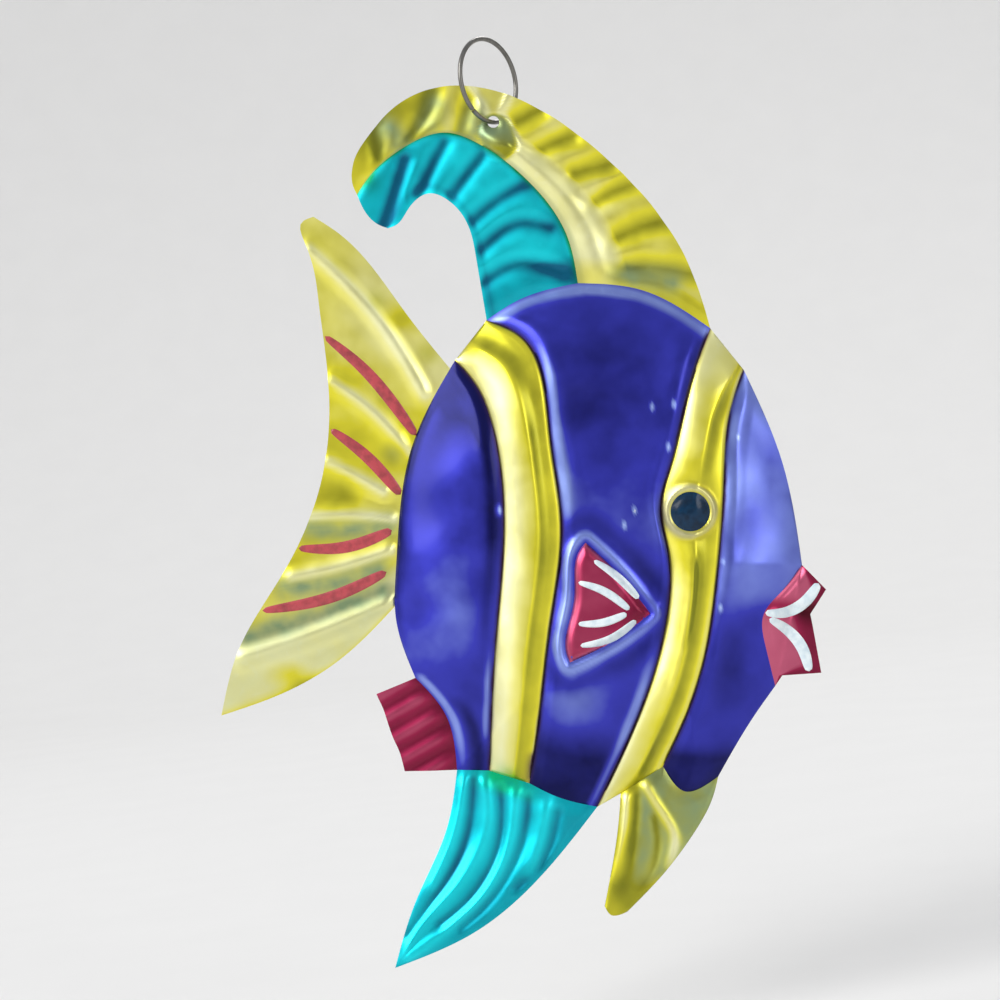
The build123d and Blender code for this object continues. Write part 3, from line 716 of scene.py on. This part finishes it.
def pelvic_fin(at):
    """Yellow, with two ridges painted pale as highlights and painted shade in the creases beside them,
    grey-green in front.
    """
    tip_fade = ramp(0.8 - at.u, 0.5)
    ridge = at.folded(PELVIC_RIDGES, 0.8) * tip_fade
    crease = at.folded(PELVIC_CREASES, 0.8) * tip_fade
    thin = 0.2 + 0.6 * ridge - 0.2 * crease + 0.15 * at.dimpled(40, 2.5, SEED + 5)
    stain = 0.75 * ramp(at.across - 3.0, 1.5) * ramp(0.75 - at.u, 0.2) * (1 - ridge) * (1 - crease)
    return at.ribbed(ridge, crease, 0.55, 2.5, 1.2), thin, stain


def vent_tab(at):
    """Red over straight ribs, each painted pale along its rib line as a highlight."""
    over = (at.z - TAB_RIB[1]) * math.cos(TAB_RIB_LEAN) - (at.x - TAB_RIB[0]) * math.sin(TAB_RIB_LEAN)
    rib_line = bump((over / TAB_RIB_PITCH + 0.5) % 1 - 0.5, 0.3)
    rise = 0.55 * at.rib * rib_line * ramp(at.along, 3.0)
    # Pale along each rib line: a painted highlight.
    return rise, 0.22 + 0.36 * rib_line * ramp(at.along, 2.5), np.zeros(rise.shape)


def mouth(at):
    """Red lips, parted by a groove painted dark as shade, and darker towards their tips."""
    line = np.abs(at.v - LIPS_PART / MOUTH_CELLS) * MOUTH_LENGTH
    rise = (0.5 * ramp(at.along, 2.0) - 0.35 * bump(line, 0.9)) * ramp(at.along, 1.5)
    return rise, 0.74 - 0.3 * bump(line, 1.2) - 0.5 * ramp(at.u - 0.62, 0.25), np.zeros(rise.shape)


RELIEFS = {make.__name__: make for make in (
    rear_panel, middle_panel, head_panel, rear_stripe, front_stripe, dorsal_crest, dorsal_web, tail, anal_fin,
    pelvic_fin, vent_tab, mouth)}


def coat_relief(sizes, lines, name, net):
    """Height of each point of a coat's net in millimetres, its paleness from how the lacquer lies with
    painted light and shade laid in, and how stained.
    """
    at = CoatPlan(sizes, lines, net)
    rise, thin, stain = RELIEFS[name](at)
    thin = np.clip(thin, 0, THINNEST_AND_LIGHTEST)
    # Pale spots on the panels: some bare tin where the lacquer is knocked off, some painted glints.
    if name.endswith("panel"):
        for pale_spot in CHIPS_AND_GLINTS:
            from_pale_spot = np.hypot(at.x - pale_spot[0], (at.z - pale_spot[1]) / CHIP_AND_GLINT_STRETCH)
            thin = np.maximum(thin, CHIP_AND_GLINT_LEVEL * bump(from_pale_spot, CHIP_AND_GLINT_R))
    return embossed(sizes, lines, at.x, at.z) + rise, thin, np.clip(stain, 0, 1)


def hung(x, z, height):
    """The hanging place, in metres, of a point of the drawing that stands out by a height."""
    lean, stand = math.sin(HANG_TILT), math.cos(HANG_TILT)
    return Vector((x * stand + z * lean, -SHEET_FRONT - height, z * stand - x * lean)) * MM + HOLE_AT


def lay_net(bm, net, heights, thin=None, stain=None):
    """A grid whose corners are moved onto a net of points."""
    rows, columns = net.shape[0] - 1, net.shape[1] - 1
    thin_and_lit_layer = bm.verts.layers.float.get("thin") or bm.verts.layers.float.new("thin")
    stain_layer = bm.verts.layers.float.get("stain") or bm.verts.layers.float.new("stain")
    grid = bmesh.ops.create_grid(bm, x_segments=rows, y_segments=columns, size=0.5)["verts"]
    for corner in grid:
        i, j = round((corner.co.x + 0.5) * rows), round((corner.co.y + 0.5) * columns)
        corner.co = hung(net[i, j, 0], net[i, j, 1], heights[i, j])
        if thin is not None:
            corner[thin_and_lit_layer] = thin[i, j]
            corner[stain_layer] = stain[i, j]
    return grid


def punch_hole(bm):
    """Opens the round hole that the ring goes through."""
    centre = hung(*RING_HOLE, 0)
    refined, rim = 2 * HOLE_R, 1.6 * HOLE_R

    def from_centre(co):
        return math.hypot(co.x - centre.x, co.z - centre.z) / MM

    close = [e for e in bm.edges if all(from_centre(corner.co) < refined for corner in e.verts)]
    bmesh.ops.subdivide_edges(bm, edges=close, cuts=2, use_grid_fill=True)
    inside = [f for f in bm.faces if from_centre(f.calc_center_median()) < HOLE_R]
    bmesh.ops.delete(bm, geom=inside, context="FACES")
    for corner in bm.verts:
        if corner.is_boundary and from_centre(corner.co) < rim:
            away = Vector((corner.co.x - centre.x, 0, corner.co.z - centre.z)).normalized() * HOLE_R * MM
            corner.co = Vector((centre.x + away.x, corner.co.y, centre.z + away.z))


def thicken(bm, thickness):
    """Gives an open skin a back, straight behind its front."""
    back = bmesh.ops.extrude_face_region(bm, geom=bm.faces[:], use_keep_orig=True)["geom"]
    corners = [part for part in back if isinstance(part, bmesh.types.BMVert)]
    bmesh.ops.translate(bm, verts=corners, vec=(0, thickness, 0))
    bmesh.ops.recalc_face_normals(bm, faces=bm.faces[:])


def finish_piece(bm, name, material, body, slot, *nodes):
    """Makes the shape an object that rides on a body and stands for its CAD nodes."""
    mesh = bpy.data.meshes.new(name)
    bm.to_mesh(mesh)
    bm.free()
    mesh.polygons.foreach_set("use_smooth", [True] * len(mesh.polygons))
    mesh.set_sharp_from_angle(angle=SHARP_ANGLE)
    mesh.materials.append(material)
    piece = bpy.data.objects.new(name, mesh)
    bpy.context.scene.collection.objects.link(piece)
    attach(piece, body)
    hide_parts(*nodes)
    return piece


def skin(sizes, lines, name, net):
    """The tree of a coat's front face, for laying paint on it."""
    heights, _, _ = coat_relief(sizes, lines, name, net)
    bm = bmesh.new()
    lay_net(bm, net, heights + sizes.coat_thickness / MM)
    tree = BVHTree.FromBMesh(bm)
    bm.free()
    return tree


def heights_on(tree, net):
    """How far the painted face below each point of a net stands out, in millimetres."""
    heights = np.zeros(net.shape[:2])
    for i, j in np.ndindex(heights.shape):
        start = hung(net[i, j, 0], net[i, j, 1], RAY_START)
        hit = tree.ray_cast(start, Vector((0, 1, 0)))[0]
        hit = hit or tree.find_nearest(start + Vector((0, RAY_START * MM, 0)))[0]
        heights[i, j] = -hit.y / MM - SHEET_FRONT
    return heights


class Finish:
    """A material of one shader, whose patterns keep their place on the object."""

    def __init__(self, name):
        self.material = bpy.data.materials.new(name)
        self.material.use_nodes = True
        self.nodes = self.material.node_tree.nodes
        self.link = self.material.node_tree.links.new
        self.nodes.clear()
        out = self.nodes.new("ShaderNodeOutputMaterial")
        self.shader = self.nodes.new("ShaderNodeBsdfPrincipled")
        self.link(self.shader.outputs["BSDF"], out.inputs["Surface"])
        self.place = self.nodes.new("ShaderNodeTexCoord").outputs["Object"]

    def give(self, socket, value):
        """Sets a socket of the shader to one value all over, or links a pattern to it."""
        if isinstance(value, (int, float)):
            self.shader.inputs[socket].default_value = value
        else:
            self.link(value, self.shader.inputs[socket])

    def attribute(self, name):
        node = self.nodes.new("ShaderNodeAttribute")
        node.attribute_name = name
        return node.outputs["Fac"]

    def noise(self, scale, detail, place=None):
        node = self.nodes.new("ShaderNodeTexNoise")
        node.inputs["Scale"].default_value = scale
        node.inputs["Detail"].default_value = detail
        self.link(place or self.place, node.inputs["Vector"])
        return node.outputs["Fac"]

    def stretched(self, scale):
        node = self.nodes.new("ShaderNodeMapping")
        node.inputs["Scale"].default_value = scale
        self.link(self.place, node.inputs["Vector"])
        return node.outputs["Vector"]

    def ramp(self, source, stops):
        """A colour ramp with the given positions and colours or grey levels."""
        node = self.nodes.new("ShaderNodeValToRGB")
        while len(node.color_ramp.elements) < len(stops):
            node.color_ramp.elements.new(0.5)
        for element, (position, tint) in zip(node.color_ramp.elements, stops):
            element.position = position
            element.color = (*tint, 1) if hasattr(tint, "__len__") else (tint, tint, tint, 1)
        self.link(source, node.inputs["Fac"])
        return node.outputs["Color"]

    def maths(self, operation, first, second):
        node = self.nodes.new("ShaderNodeMath")
        node.operation = operation
        for socket, value in zip(node.inputs, (first, second)):
            if isinstance(value, (int, float)):
                socket.default_value = value
            else:
                self.link(value, socket)
        return node.outputs[0]

    def stained(self, colour, tint, amount):
        node = self.nodes.new("ShaderNodeMix")
        node.data_type = "RGBA"
        self.link(amount, node.inputs["Factor"])
        self.link(colour, node.inputs["A"])
        node.inputs["B"].default_value = (*tint, 1)
        return node.outputs["Result"]

    def roughen(self, height, strength, distance):
        node = self.nodes.new("ShaderNodeBump")
        node.inputs["Strength"].default_value = strength
        node.inputs["Distance"].default_value = distance
        self.link(height, node.inputs["Height"])
        self.give("Normal", node.outputs["Normal"])


def lacquer(name, deep_and_shaded, full, thin, stain):
    """Translucent lacquer over tin, darker where it lies thick in hollows and where shade is painted, paler
    where it lies thinly on ridges and where highlights are painted.
    """
    finish = Finish(name)
    # The level read here is the lacquer's paleness with the painted light and painted shade of each coat laid
    # in.
    thickness = finish.attribute("thin")
    mottle = finish.noise(240, 2)
    patch = finish.maths("MULTIPLY", mottle, 0.2)
    cloud = finish.maths("MULTIPLY", finish.noise(80, 1), 0.28)
    level = finish.maths("ADD", thickness, finish.maths("ADD", patch, cloud))
    level = finish.maths("SUBTRACT", level, 0.24)
    speck = finish.ramp(finish.noise(900, 1), [(0.6, 0.0), (0.7, 1.0)])
    bare = finish.ramp(thickness, [(0.84, 0.0), (1.0, 0.3)])
    level = finish.maths("ADD", level, finish.maths("MULTIPLY", speck, bare))
    level = finish.maths("MULTIPLY", level, 0.8)
    colour = finish.ramp(level, [(0.0, deep_and_shaded), (0.36, full), (0.84, thin), (1.0, BARE_TIN)])
    bleed = finish.maths("MULTIPLY", finish.attribute("stain"), mottle)
    bleed = finish.maths("MULTIPLY", bleed, 1.9)
    finish.give("Base Color", finish.stained(colour, stain, bleed))
    finish.give("Roughness", finish.ramp(mottle, [(0.3, 0.29), (0.7, 0.42)]))
    finish.give("Metallic", 0.85)
    finish.give("Coat Weight", 0.2)
    finish.give("Coat Roughness", 0.14)
    finish.roughen(finish.noise(260, 1), 0.2, 0.0002)
    return finish.material


def bare_metal(name, bright, dull, scratch_scale):
    """Tin or wire: bright metal, brushed one way, with faint dull clouds."""
    finish = Finish(name)
    scratch = finish.noise(scratch_scale, 3, finish.stretched((1, 1, 0.05)))
    half_cloud = finish.maths("MULTIPLY", finish.noise(60, 3), 0.5)
    half_scratch = finish.maths("MULTIPLY", scratch, 0.5)
    grain = finish.maths("ADD", half_cloud, half_scratch)
    finish.give("Base Color", finish.ramp(grain, [(0.35, dull), (0.6, bright)]))
    finish.give("Roughness", finish.ramp(grain, [(0.35, 0.38), (0.65, 0.29)]))
    finish.give("Metallic", 1.0)
    finish.roughen(scratch, 0.12, 0.00003)
    return finish.material


def enamel(name, dark, light, roughness, coat, shine):
    """Opaque brushed enamel, streaky along the brush."""
    finish = Finish(name)
    streak = finish.noise(900, 4)
    finish.give("Base Color", finish.ramp(streak, [(0.32, dark), (0.62, light)]))
    finish.give("Roughness", finish.ramp(streak, [(0.2, roughness + 0.12), (0.8, roughness)]))
    finish.give("Specular IOR Level", shine)
    finish.give("Coat Weight", coat)
    finish.give("Coat Roughness", 0.08)
    finish.roughen(streak, 0.3, 0.00006)
    return finish.material


def pale_board(tint):
    """Pale matt board with a trace of tooth."""
    finish = Finish("pale_board")
    tooth = finish.noise(40, 3)
    finish.give("Base Color", finish.ramp(tooth, [(0.3, shaded(tint, 0.985)), (0.7, tuple(tint))]))
    finish.give("Roughness", 0.85)
    return finish.material


def shaded(tint, share):
    """A colour with each channel at a share of its strength."""
    return tuple(share * channel for channel in tint)


def length(name, description, default):
    return FloatProperty(
        name=name, description=description, default=default, min=0, precision=5, unit="LENGTH")


def colour(name, description, default):
    return FloatVectorProperty(
        name=name, description=description, default=default, size=3, min=0, max=1, subtype="COLOR")


class TinFishSizes(PropertyGroup):
    sheet_thickness: length("Sheet", "Thickness of the tin", 0.0003)
    coat_thickness: length("Coat", "Thickness of a lacquer coat", 0.0001)
    stroke_thickness: length("Stroke", "Height of a brush stroke in its middle", 0.00018)
    body_rise: length("Body rise", "Height of the domed body", 0.0045)
    body_shoulder: length("Body shoulder", "Width over which the body rises", 0.015)
    stripe_rise: length("Stripe rise", "Height of a stripe's crest above the body", 0.0016)
    pectoral_rise: length("Pectoral rise", "Height of the pectoral fin above its panel", 0.0009)
    rib_rise: length("Rib rise", "Height of the ribs on the fins", 0.0007)
    eye_radius: length("Eye", "Radius of the eye", 0.0029)
    wire_diameter: length("Wire", "Diameter of the ring's wire", 0.0007)
    ring_diameter: length("Ring", "Diameter of the ring along the middle of its wire", 0.0125)
    wire_sides: IntProperty(name="Wire sides", description="Sides of the round wire", default=20, min=8)


class TinFishColours(PropertyGroup):
    # The darkest colour of each lacquer also paints shade and the palest also paints highlights, as each
    # coat's level asks.
    purple_deep_and_shaded: colour("Deep purple", "Purple lacquer in hollows", (0.001, 0.002, 0.085))
    purple_full: colour("Purple", "Purple lacquer", (0.042, 0.046, 0.5))
    purple_thin: colour("Thin purple", "Purple lacquer on ridges", (0.36, 0.48, 0.97))
    yellow_deep_and_shaded: colour("Olive", "Yellow lacquer in hollows", (0.23, 0.235, 0.01))
    yellow_full: colour("Yellow", "Yellow lacquer", (0.86, 0.78, 0.04))
    yellow_thin: colour("Cream", "Yellow lacquer on ridges", (0.97, 0.97, 0.62))
    teal_deep_and_shaded: colour("Deep teal", "Teal lacquer in creases", (0.0, 0.13, 0.24))
    teal_full: colour("Teal", "Teal lacquer", (0.0, 0.5, 0.6))
    teal_thin: colour("Cyan", "Teal lacquer on ridges", (0.01, 0.88, 0.97))
    red_deep_and_shaded: colour("Deep red", "Red lacquer in creases", (0.09, 0.002, 0.012))
    red_full: colour("Red", "Red lacquer", (0.37, 0.016, 0.075))
    red_thin: colour("Pink", "Red lacquer on ridges", (0.78, 0.2, 0.32))
    brush_red: colour("Brush red", "Strokes on the tail", (0.5, 0.06, 0.075))
    brush_white: colour("Brush white", "Strokes on the pectoral fin and mouth", (0.8, 0.88, 0.9))
    eye_black: colour("Eye black", "Drop of the eye", (0.001, 0.014, 0.036))
    tin: colour("Tin", "Bare tin", (0.72, 0.72, 0.7))
    wire: colour("Wire", "Wire of the ring", (0.24, 0.23, 0.21))
    board: colour("Board", "Floor and backdrop", (0.79, 0.78, 0.76))


def settings(context):
    scene = context.scene
    return scene.tin_fish_sizes, scene.tin_fish_colours


def lacquer_of(colours, name):
    """One of the lacquers, made when a piece first asks for it."""
    made = bpy.data.materials.get(f"{name}_gloss")
    family = name.removeprefix("fin_")
    tints = [tuple(getattr(colours, f"{family}_{level}")) for level in ("deep_and_shaded", "full", "thin")]
    return made or lacquer(f"{name}_gloss", *tints, EDGE_STAINS[name])


def drawing():
    """The edges that coats share and the flat net of each coat."""
    lines = outlines()
    return lines, nets(lines)


def merge(bm, gap):
    """Joins corners that lie within a gap in millimetres."""
    bmesh.ops.remove_doubles(bm, verts=bm.verts[:], dist=gap * MM)


def lay_coats(context, coats):
    """Each coat as a fine skin of lacquer over its part of the tin."""
    sizes, colours = settings(context)
    lines, drawn = drawing()
    for name, tint, slot in coats:
        heights, thin, stain = coat_relief(sizes, lines, name, drawn[name])
        bm = bmesh.new()
        lay_net(bm, drawn[name], heights + sizes.coat_thickness / MM, thin, stain)
        merge(bm, COAT_MERGE)
        if name == "dorsal_crest":
            punch_hole(bm)
        thicken(bm, sizes.coat_thickness)
        finish_piece(bm, f"{name}_coat", lacquer_of(colours, tint), "fish", slot, f"{name}_lacquer")


class TINFISH_OT_sheet(Operator):
    """Cut and emboss the tin sheet"""
    bl_idname = "tinfish.sheet"
    bl_label = "Tin Sheet"

    def execute(self, context):
        sizes, colours = settings(context)
        lines, drawn = drawing()
        bm = bmesh.new()
        for name, net in drawn.items():
            heights, _, _ = coat_relief(sizes, lines, name, net)
            lay_net(bm, net, heights)
        merge(bm, SHEET_MERGE)
        punch_hole(bm)
        thicken(bm, sizes.sheet_thickness)
        tin = bare_metal("bare_tin", tuple(colours.tin), shaded(colours.tin, 0.84), scratch_scale=900)
        finish_piece(bm, "tin_fish_sheet", tin, "fish", "tinplate", "tin_sheet")
        return {"FINISHED"}


class TINFISH_OT_panels(Operator):
    """Lay the purple lacquer on the three body panels"""
    bl_idname = "tinfish.panels"
    bl_label = "Body Panels"

    def execute(self, context):
        panels = ("rear_panel", "middle_panel", "head_panel")
        lay_coats(context, [(name, "purple", "purple_lacquer") for name in panels])
        return {"FINISHED"}


class TINFISH_OT_stripes(Operator):
    """Lay the yellow lacquer on the two ridged stripes"""
    bl_idname = "tinfish.stripes"
    bl_label = "Stripes"

    def execute(self, context):
        lay_coats(context, [(name, "yellow", "yellow_lacquer") for name in ("rear_stripe", "front_stripe")])
        return {"FINISHED"}


class TINFISH_OT_fins(Operator):
    """Lay the lacquer on the ribbed fins, the tail and the vent tab"""
    bl_idname = "tinfish.fins"
    bl_label = "Fins"

    def execute(self, context):
        lay_coats(context, [
            ("dorsal_crest", "fin_yellow", "yellow_lacquer"),
            ("dorsal_web", "teal", "teal_lacquer"),
            ("tail", "fin_yellow", "yellow_lacquer"),
            ("anal_fin", "fin_teal", "teal_lacquer"),
            ("pelvic_fin", "fin_yellow", "yellow_lacquer"),
            ("vent_tab", "red", "red_lacquer"),
        ])
        return {"FINISHED"}


class TINFISH_OT_mouth(Operator):
    """Lay the red lacquer on the mouth and the pectoral fin"""
    bl_idname = "tinfish.mouth"
    bl_label = "Mouth and Pectoral Fin"

    def execute(self, context):
        lay_coats(context, [("mouth", "red", "red_lacquer")])
        sizes, colours = settings(context)
        lines, drawn = drawing()
        tree = skin(sizes, lines, "middle_panel", drawn["middle_panel"])
        cells = PECTORAL_CELLS
        net = spanned(curve(PECTORAL_TOP, cells), curve(PECTORAL_BOTTOM, cells), curve(PECTORAL_BACK, cells),
                      held(PECTORAL_TIP, cells))
        inside = depth(lines["pectoral"], net[..., 0], net[..., 1])
        u = np.linspace(0, 1, cells + 1)[:, None] * np.ones((1, cells + 1))
        tip_shade = 0.35 * ramp(u - 0.6, 0.3)
        # A painted highlight along the fin's rim, and painted shade towards its tip.
        rim = 0.25 * bump(inside, 0.5)
        thin = np.clip(0.5 - tip_shade + rim, 0, 1)
        bm = bmesh.new()
        lay_net(bm, net, heights_on(tree, net) + PECTORAL_LIFT, thin, np.zeros(thin.shape))
        merge(bm, COAT_MERGE)
        thicken(bm, sizes.coat_thickness)
        finish_piece(bm, "pectoral_fin_coat", lacquer_of(colours, "red"), "fish", "red_lacquer",
                     "pectoral_fin_lacquer")
        return {"FINISHED"}


class TINFISH_OT_strokes(Operator):
    """Brush the strokes on the tail, the pectoral fin and the mouth"""
    bl_idname = "tinfish.strokes"
    bl_label = "Brush Strokes"

    def execute(self, context):
        sizes, colours = settings(context)
        lines, drawn = drawing()
        brushed = {"roughness": 0.35, "coat": 0.3, "shine": 0.5}
        red = enamel("red_brush", shaded(colours.brush_red, 0.6), tuple(colours.brush_red), **brushed)
        white = enamel("white_brush", BRUSH_GREY, tuple(colours.brush_white), **brushed)
        groups = [
            ("tail", "tail", TAIL_STROKES, red, "red_enamel", 0.0),
            ("pectoral", "middle_panel", PECTORAL_STROKES, white, "white_enamel", PECTORAL_LIFT),
            ("mouth", "mouth", MOUTH_STROKES, white, "white_enamel", 0.0),
        ]
        for name, carrier, middles, paint, slot, lift in groups:
            tree = skin(sizes, lines, carrier, drawn[carrier])
            bm = bmesh.new()
            for middle in middles:
                self.brush(bm, tree, sizes, curve(middle, STROKE_CELLS), STROKE_WIDTHS[name], lift)
            merge(bm, STROKE_MERGE)
            thicken(bm, sizes.stroke_thickness)
            finish_piece(bm, f"{name}_brush_strokes", paint, "fish", slot, f"{name}_strokes")
        return {"FINISHED"}

    def brush(self, bm, tree, sizes, middle, width, lift):
        """One stroke: blunt at both ends and a little wider where the brush left."""
        tangent = np.gradient(middle, axis=0)
        normal = np.stack([-tangent[:, 1], tangent[:, 0]], axis=1) / np.hypot(*tangent.T)[:, None]
        t = np.linspace(0, 1, len(middle))
        half = width / 2 * (0.88 + 0.24 * t) * np.clip(np.sin(math.pi * t), 0, 1)**0.25
        share = np.linspace(-1, 1, STROKE_POINTS)
        net = middle[:, None] + normal[:, None] * (half[:, None] * share[None])[..., None]
        body = np.sqrt(np.clip(1 - share**2, 0, 1))[None] * np.clip(half / (width / 2), 0, 1)[:, None]
        paint = sizes.stroke_thickness / MM * 0.8 * body
        lay_net(bm, net, heights_on(tree, net) + lift + STROKE_LIFT + paint)


class TINFISH_OT_eye(Operator):
    """Set the gloss black drop of the eye"""
    bl_idname = "tinfish.eye"
    bl_label = "Eye"

    def execute(self, context):
        sizes, colours = settings(context)
        lines, drawn = drawing()
        tree = skin(sizes, lines, "front_stripe", drawn["front_stripe"])
        reach = np.linspace(0, sizes.eye_radius / MM, EYE_RINGS + 1)[:, None]
        angle = np.linspace(0, 2 * math.pi, EYE_TURNS + 1)[None]
        net = np.stack([EYE_AT[0] + reach * np.cos(angle), EYE_AT[1] + reach * np.sin(angle)], axis=2)
        dome = EYE_DOME * np.sqrt(np.clip(1 - (reach * MM / sizes.eye_radius)**2, 0, 1))
        bm = bmesh.new()
        lay_net(bm, net, heights_on(tree, net) + EYE_LIFT + dome)
        merge(bm, COAT_MERGE)
        thicken(bm, sizes.stroke_thickness)
        black = tuple(colours.eye_black)
        gloss = enamel("black_drop", black, shaded(black, 2), roughness=0.14, coat=0.2, shine=0.2)
        finish_piece(bm, "eye_drop", gloss, "fish", "black_enamel", "eye_dot")
        return {"FINISHED"}


class TINFISH_OT_ring(Operator):
    """Bend the wire ring through the hole"""
    bl_idname = "tinfish.ring"
    bl_label = "Wire Ring"

    def execute(self, context):
        sizes, colours = settings(context)
        radius = sizes.ring_diameter / 2
        bm = bmesh.new()
        section = bmesh.ops.create_circle(
            bm, segments=sizes.wire_sides, radius=sizes.wire_diameter / 2, cap_ends=True)
        bmesh.ops.translate(bm, verts=section["verts"], vec=(radius, 0, 0))
        bmesh.ops.spin(
            bm, geom=bm.faces[:], cent=(0, 0, 0), axis=(0, 1, 0), angle=2 * math.pi - RING_SPLIT,
            steps=RING_STEPS, use_duplicate=False)
        bmesh.ops.recalc_face_normals(bm, faces=bm.faces[:])
        turn = Matrix.Rotation(RING_TURN, 4, "Z") @ Matrix.Rotation(RING_SPLIT_AT, 4, "Y")
        place = Matrix.Translation(HOLE_AT + Vector((0, 0, radius))) @ turn
        bmesh.ops.transform(bm, matrix=place, verts=bm.verts[:])
        wire = bare_metal("steel_wire", tuple(colours.wire), shaded(colours.wire, 0.6), scratch_scale=1500)
        finish_piece(bm, "wire_ring", wire, "hanger", "wire", "hanging_ring")
        return {"FINISHED"}


class TINFISH_OT_stage(Operator):
    """Set the pale backdrop, the lights and the camera"""
    bl_idname = "tinfish.stage"
    bl_label = "Stage"

    def execute(self, context):
        scene = context.scene
        _, colours = settings(context)
        self.backdrop(scene, colours)
        for lamp in LAMPS:
            self.lamp(scene, *lamp)
        world = bpy.data.worlds.new("studio")
        world.use_nodes = True
        sky = world.node_tree.nodes["Background"]
        sky.inputs["Color"].default_value = STUDIO_TINT
        sky.inputs["Strength"].default_value = STUDIO_STRENGTH
        scene.world = world
        self.camera(scene)
        scene.view_settings.view_transform = "Standard"
        return {"FINISHED"}

    def backdrop(self, scene, colours):
        """A round floor that sweeps up into a low wall all round, nearest behind the fish."""
        floor = CAD_BOX[0][2] - FLOOR_GAP
        middle, radius, sweep, top = Vector((0, -1.4, 0)), 2.9, 0.7, 1.3
        sweep_points, turn_steps = 25, 96
        bm = bmesh.new()
        profile = [(0, floor)]
        for angle in np.linspace(0, math.pi / 2, sweep_points):
            out, up = sweep * math.sin(angle), sweep * (1 - math.cos(angle))
            profile.append((radius - sweep + out, floor + up))
        profile.append((radius, top))
        corners = [bm.verts.new((out, middle.y, z)) for out, z in profile]
        edges = [bm.edges.new(pair) for pair in zip(corners, corners[1:])]
        bmesh.ops.spin(bm, geom=corners + edges, cent=middle, axis=(0, 0, 1), angle=2 * math.pi,
                       steps=turn_steps, use_merge=True)
        merge(bm, BOARD_MERGE)
        bmesh.ops.recalc_face_normals(bm, faces=bm.faces[:])
        if min(bm.faces, key=lambda face: face.calc_center_median().z).normal.z < 0:
            bmesh.ops.reverse_faces(bm, faces=bm.faces[:])
        mesh = bpy.data.meshes.new("backdrop")
        bm.to_mesh(mesh)
        bm.free()
        mesh.polygons.foreach_set("use_smooth", [True] * len(mesh.polygons))
        mesh.materials.append(pale_board(colours.board))
        board = bpy.data.objects.new("backdrop", mesh)
        scene.collection.objects.link(board)

    def lamp(self, scene, name, place, size, power):
        """A soft round lamp that shines at the middle of the fish."""
        light = bpy.data.lights.new(name, "AREA")
        light.shape = "DISK"
        light.size = size
        light.energy = power
        light.spread = LAMP_SPREAD
        lamp = bpy.data.objects.new(name, light)
        lamp.location = place
        lamp.rotation_euler = (LAMPS_AIM - lamp.location).to_track_quat("-Z", "Y").to_euler()
        scene.collection.objects.link(lamp)

    def camera(self, scene):
        """Straight in front of the sheet and rolled with it, so that the fish stands as it was drawn."""
        view_width, lens, sensor = 0.149, 90.0, 36.0
        data = bpy.data.cameras.new("camera")
        data.lens = lens
        data.sensor_width = sensor
        data.clip_start = 0.01
        camera = bpy.data.objects.new("camera", data)
        lean, stand = math.sin(HANG_TILT), math.cos(HANG_TILT)
        axes = Matrix(((stand, lean, 0), (0, 0, -1), (-lean, stand, 0))).to_4x4()
        distance = view_width * lens / sensor
        target = hung(*VIEW_MIDDLE, 0)
        camera.matrix_world = Matrix.Translation(target + Vector((0, -distance, 0))) @ axes
        scene.collection.objects.link(camera)
        scene.camera = camera


class TINFISH_PT_panel(Panel):
    bl_idname = "TINFISH_PT_panel"
    bl_label = "Tin Fish"
    bl_space_type = "VIEW_3D"
    bl_region_type = "UI"
    bl_category = "Tin Fish"

    def draw(self, context):
        for operator in OPERATORS:
            self.layout.operator(operator.bl_idname)
        sizes, colours = settings(context)
        for group in (sizes, colours):
            box = self.layout.box()
            for name in group.__annotations__:
                box.prop(group, name)


OPERATORS = [TINFISH_OT_sheet, TINFISH_OT_panels, TINFISH_OT_stripes, TINFISH_OT_fins, TINFISH_OT_mouth,
             TINFISH_OT_strokes, TINFISH_OT_eye, TINFISH_OT_ring, TINFISH_OT_stage]
CLASSES = [TinFishSizes, TinFishColours, *OPERATORS, TINFISH_PT_panel]


def register():
    for cls in CLASSES:
        bpy.utils.register_class(cls)
    bpy.types.Scene.tin_fish_sizes = PointerProperty(type=TinFishSizes)
    bpy.types.Scene.tin_fish_colours = PointerProperty(type=TinFishColours)


def unregister():
    del bpy.types.Scene.tin_fish_sizes
    del bpy.types.Scene.tin_fish_colours
    for cls in reversed(CLASSES):
        bpy.utils.unregister_class(cls)


def main():
    register()
    bpy.ops.tinfish.sheet()
    bpy.ops.tinfish.panels()
    bpy.ops.tinfish.stripes()
    bpy.ops.tinfish.fins()
    bpy.ops.tinfish.mouth()
    bpy.ops.tinfish.strokes()
    bpy.ops.tinfish.eye()
    bpy.ops.tinfish.ring()
    bpy.ops.tinfish.stage()


if __name__ == "__main__":
    main()
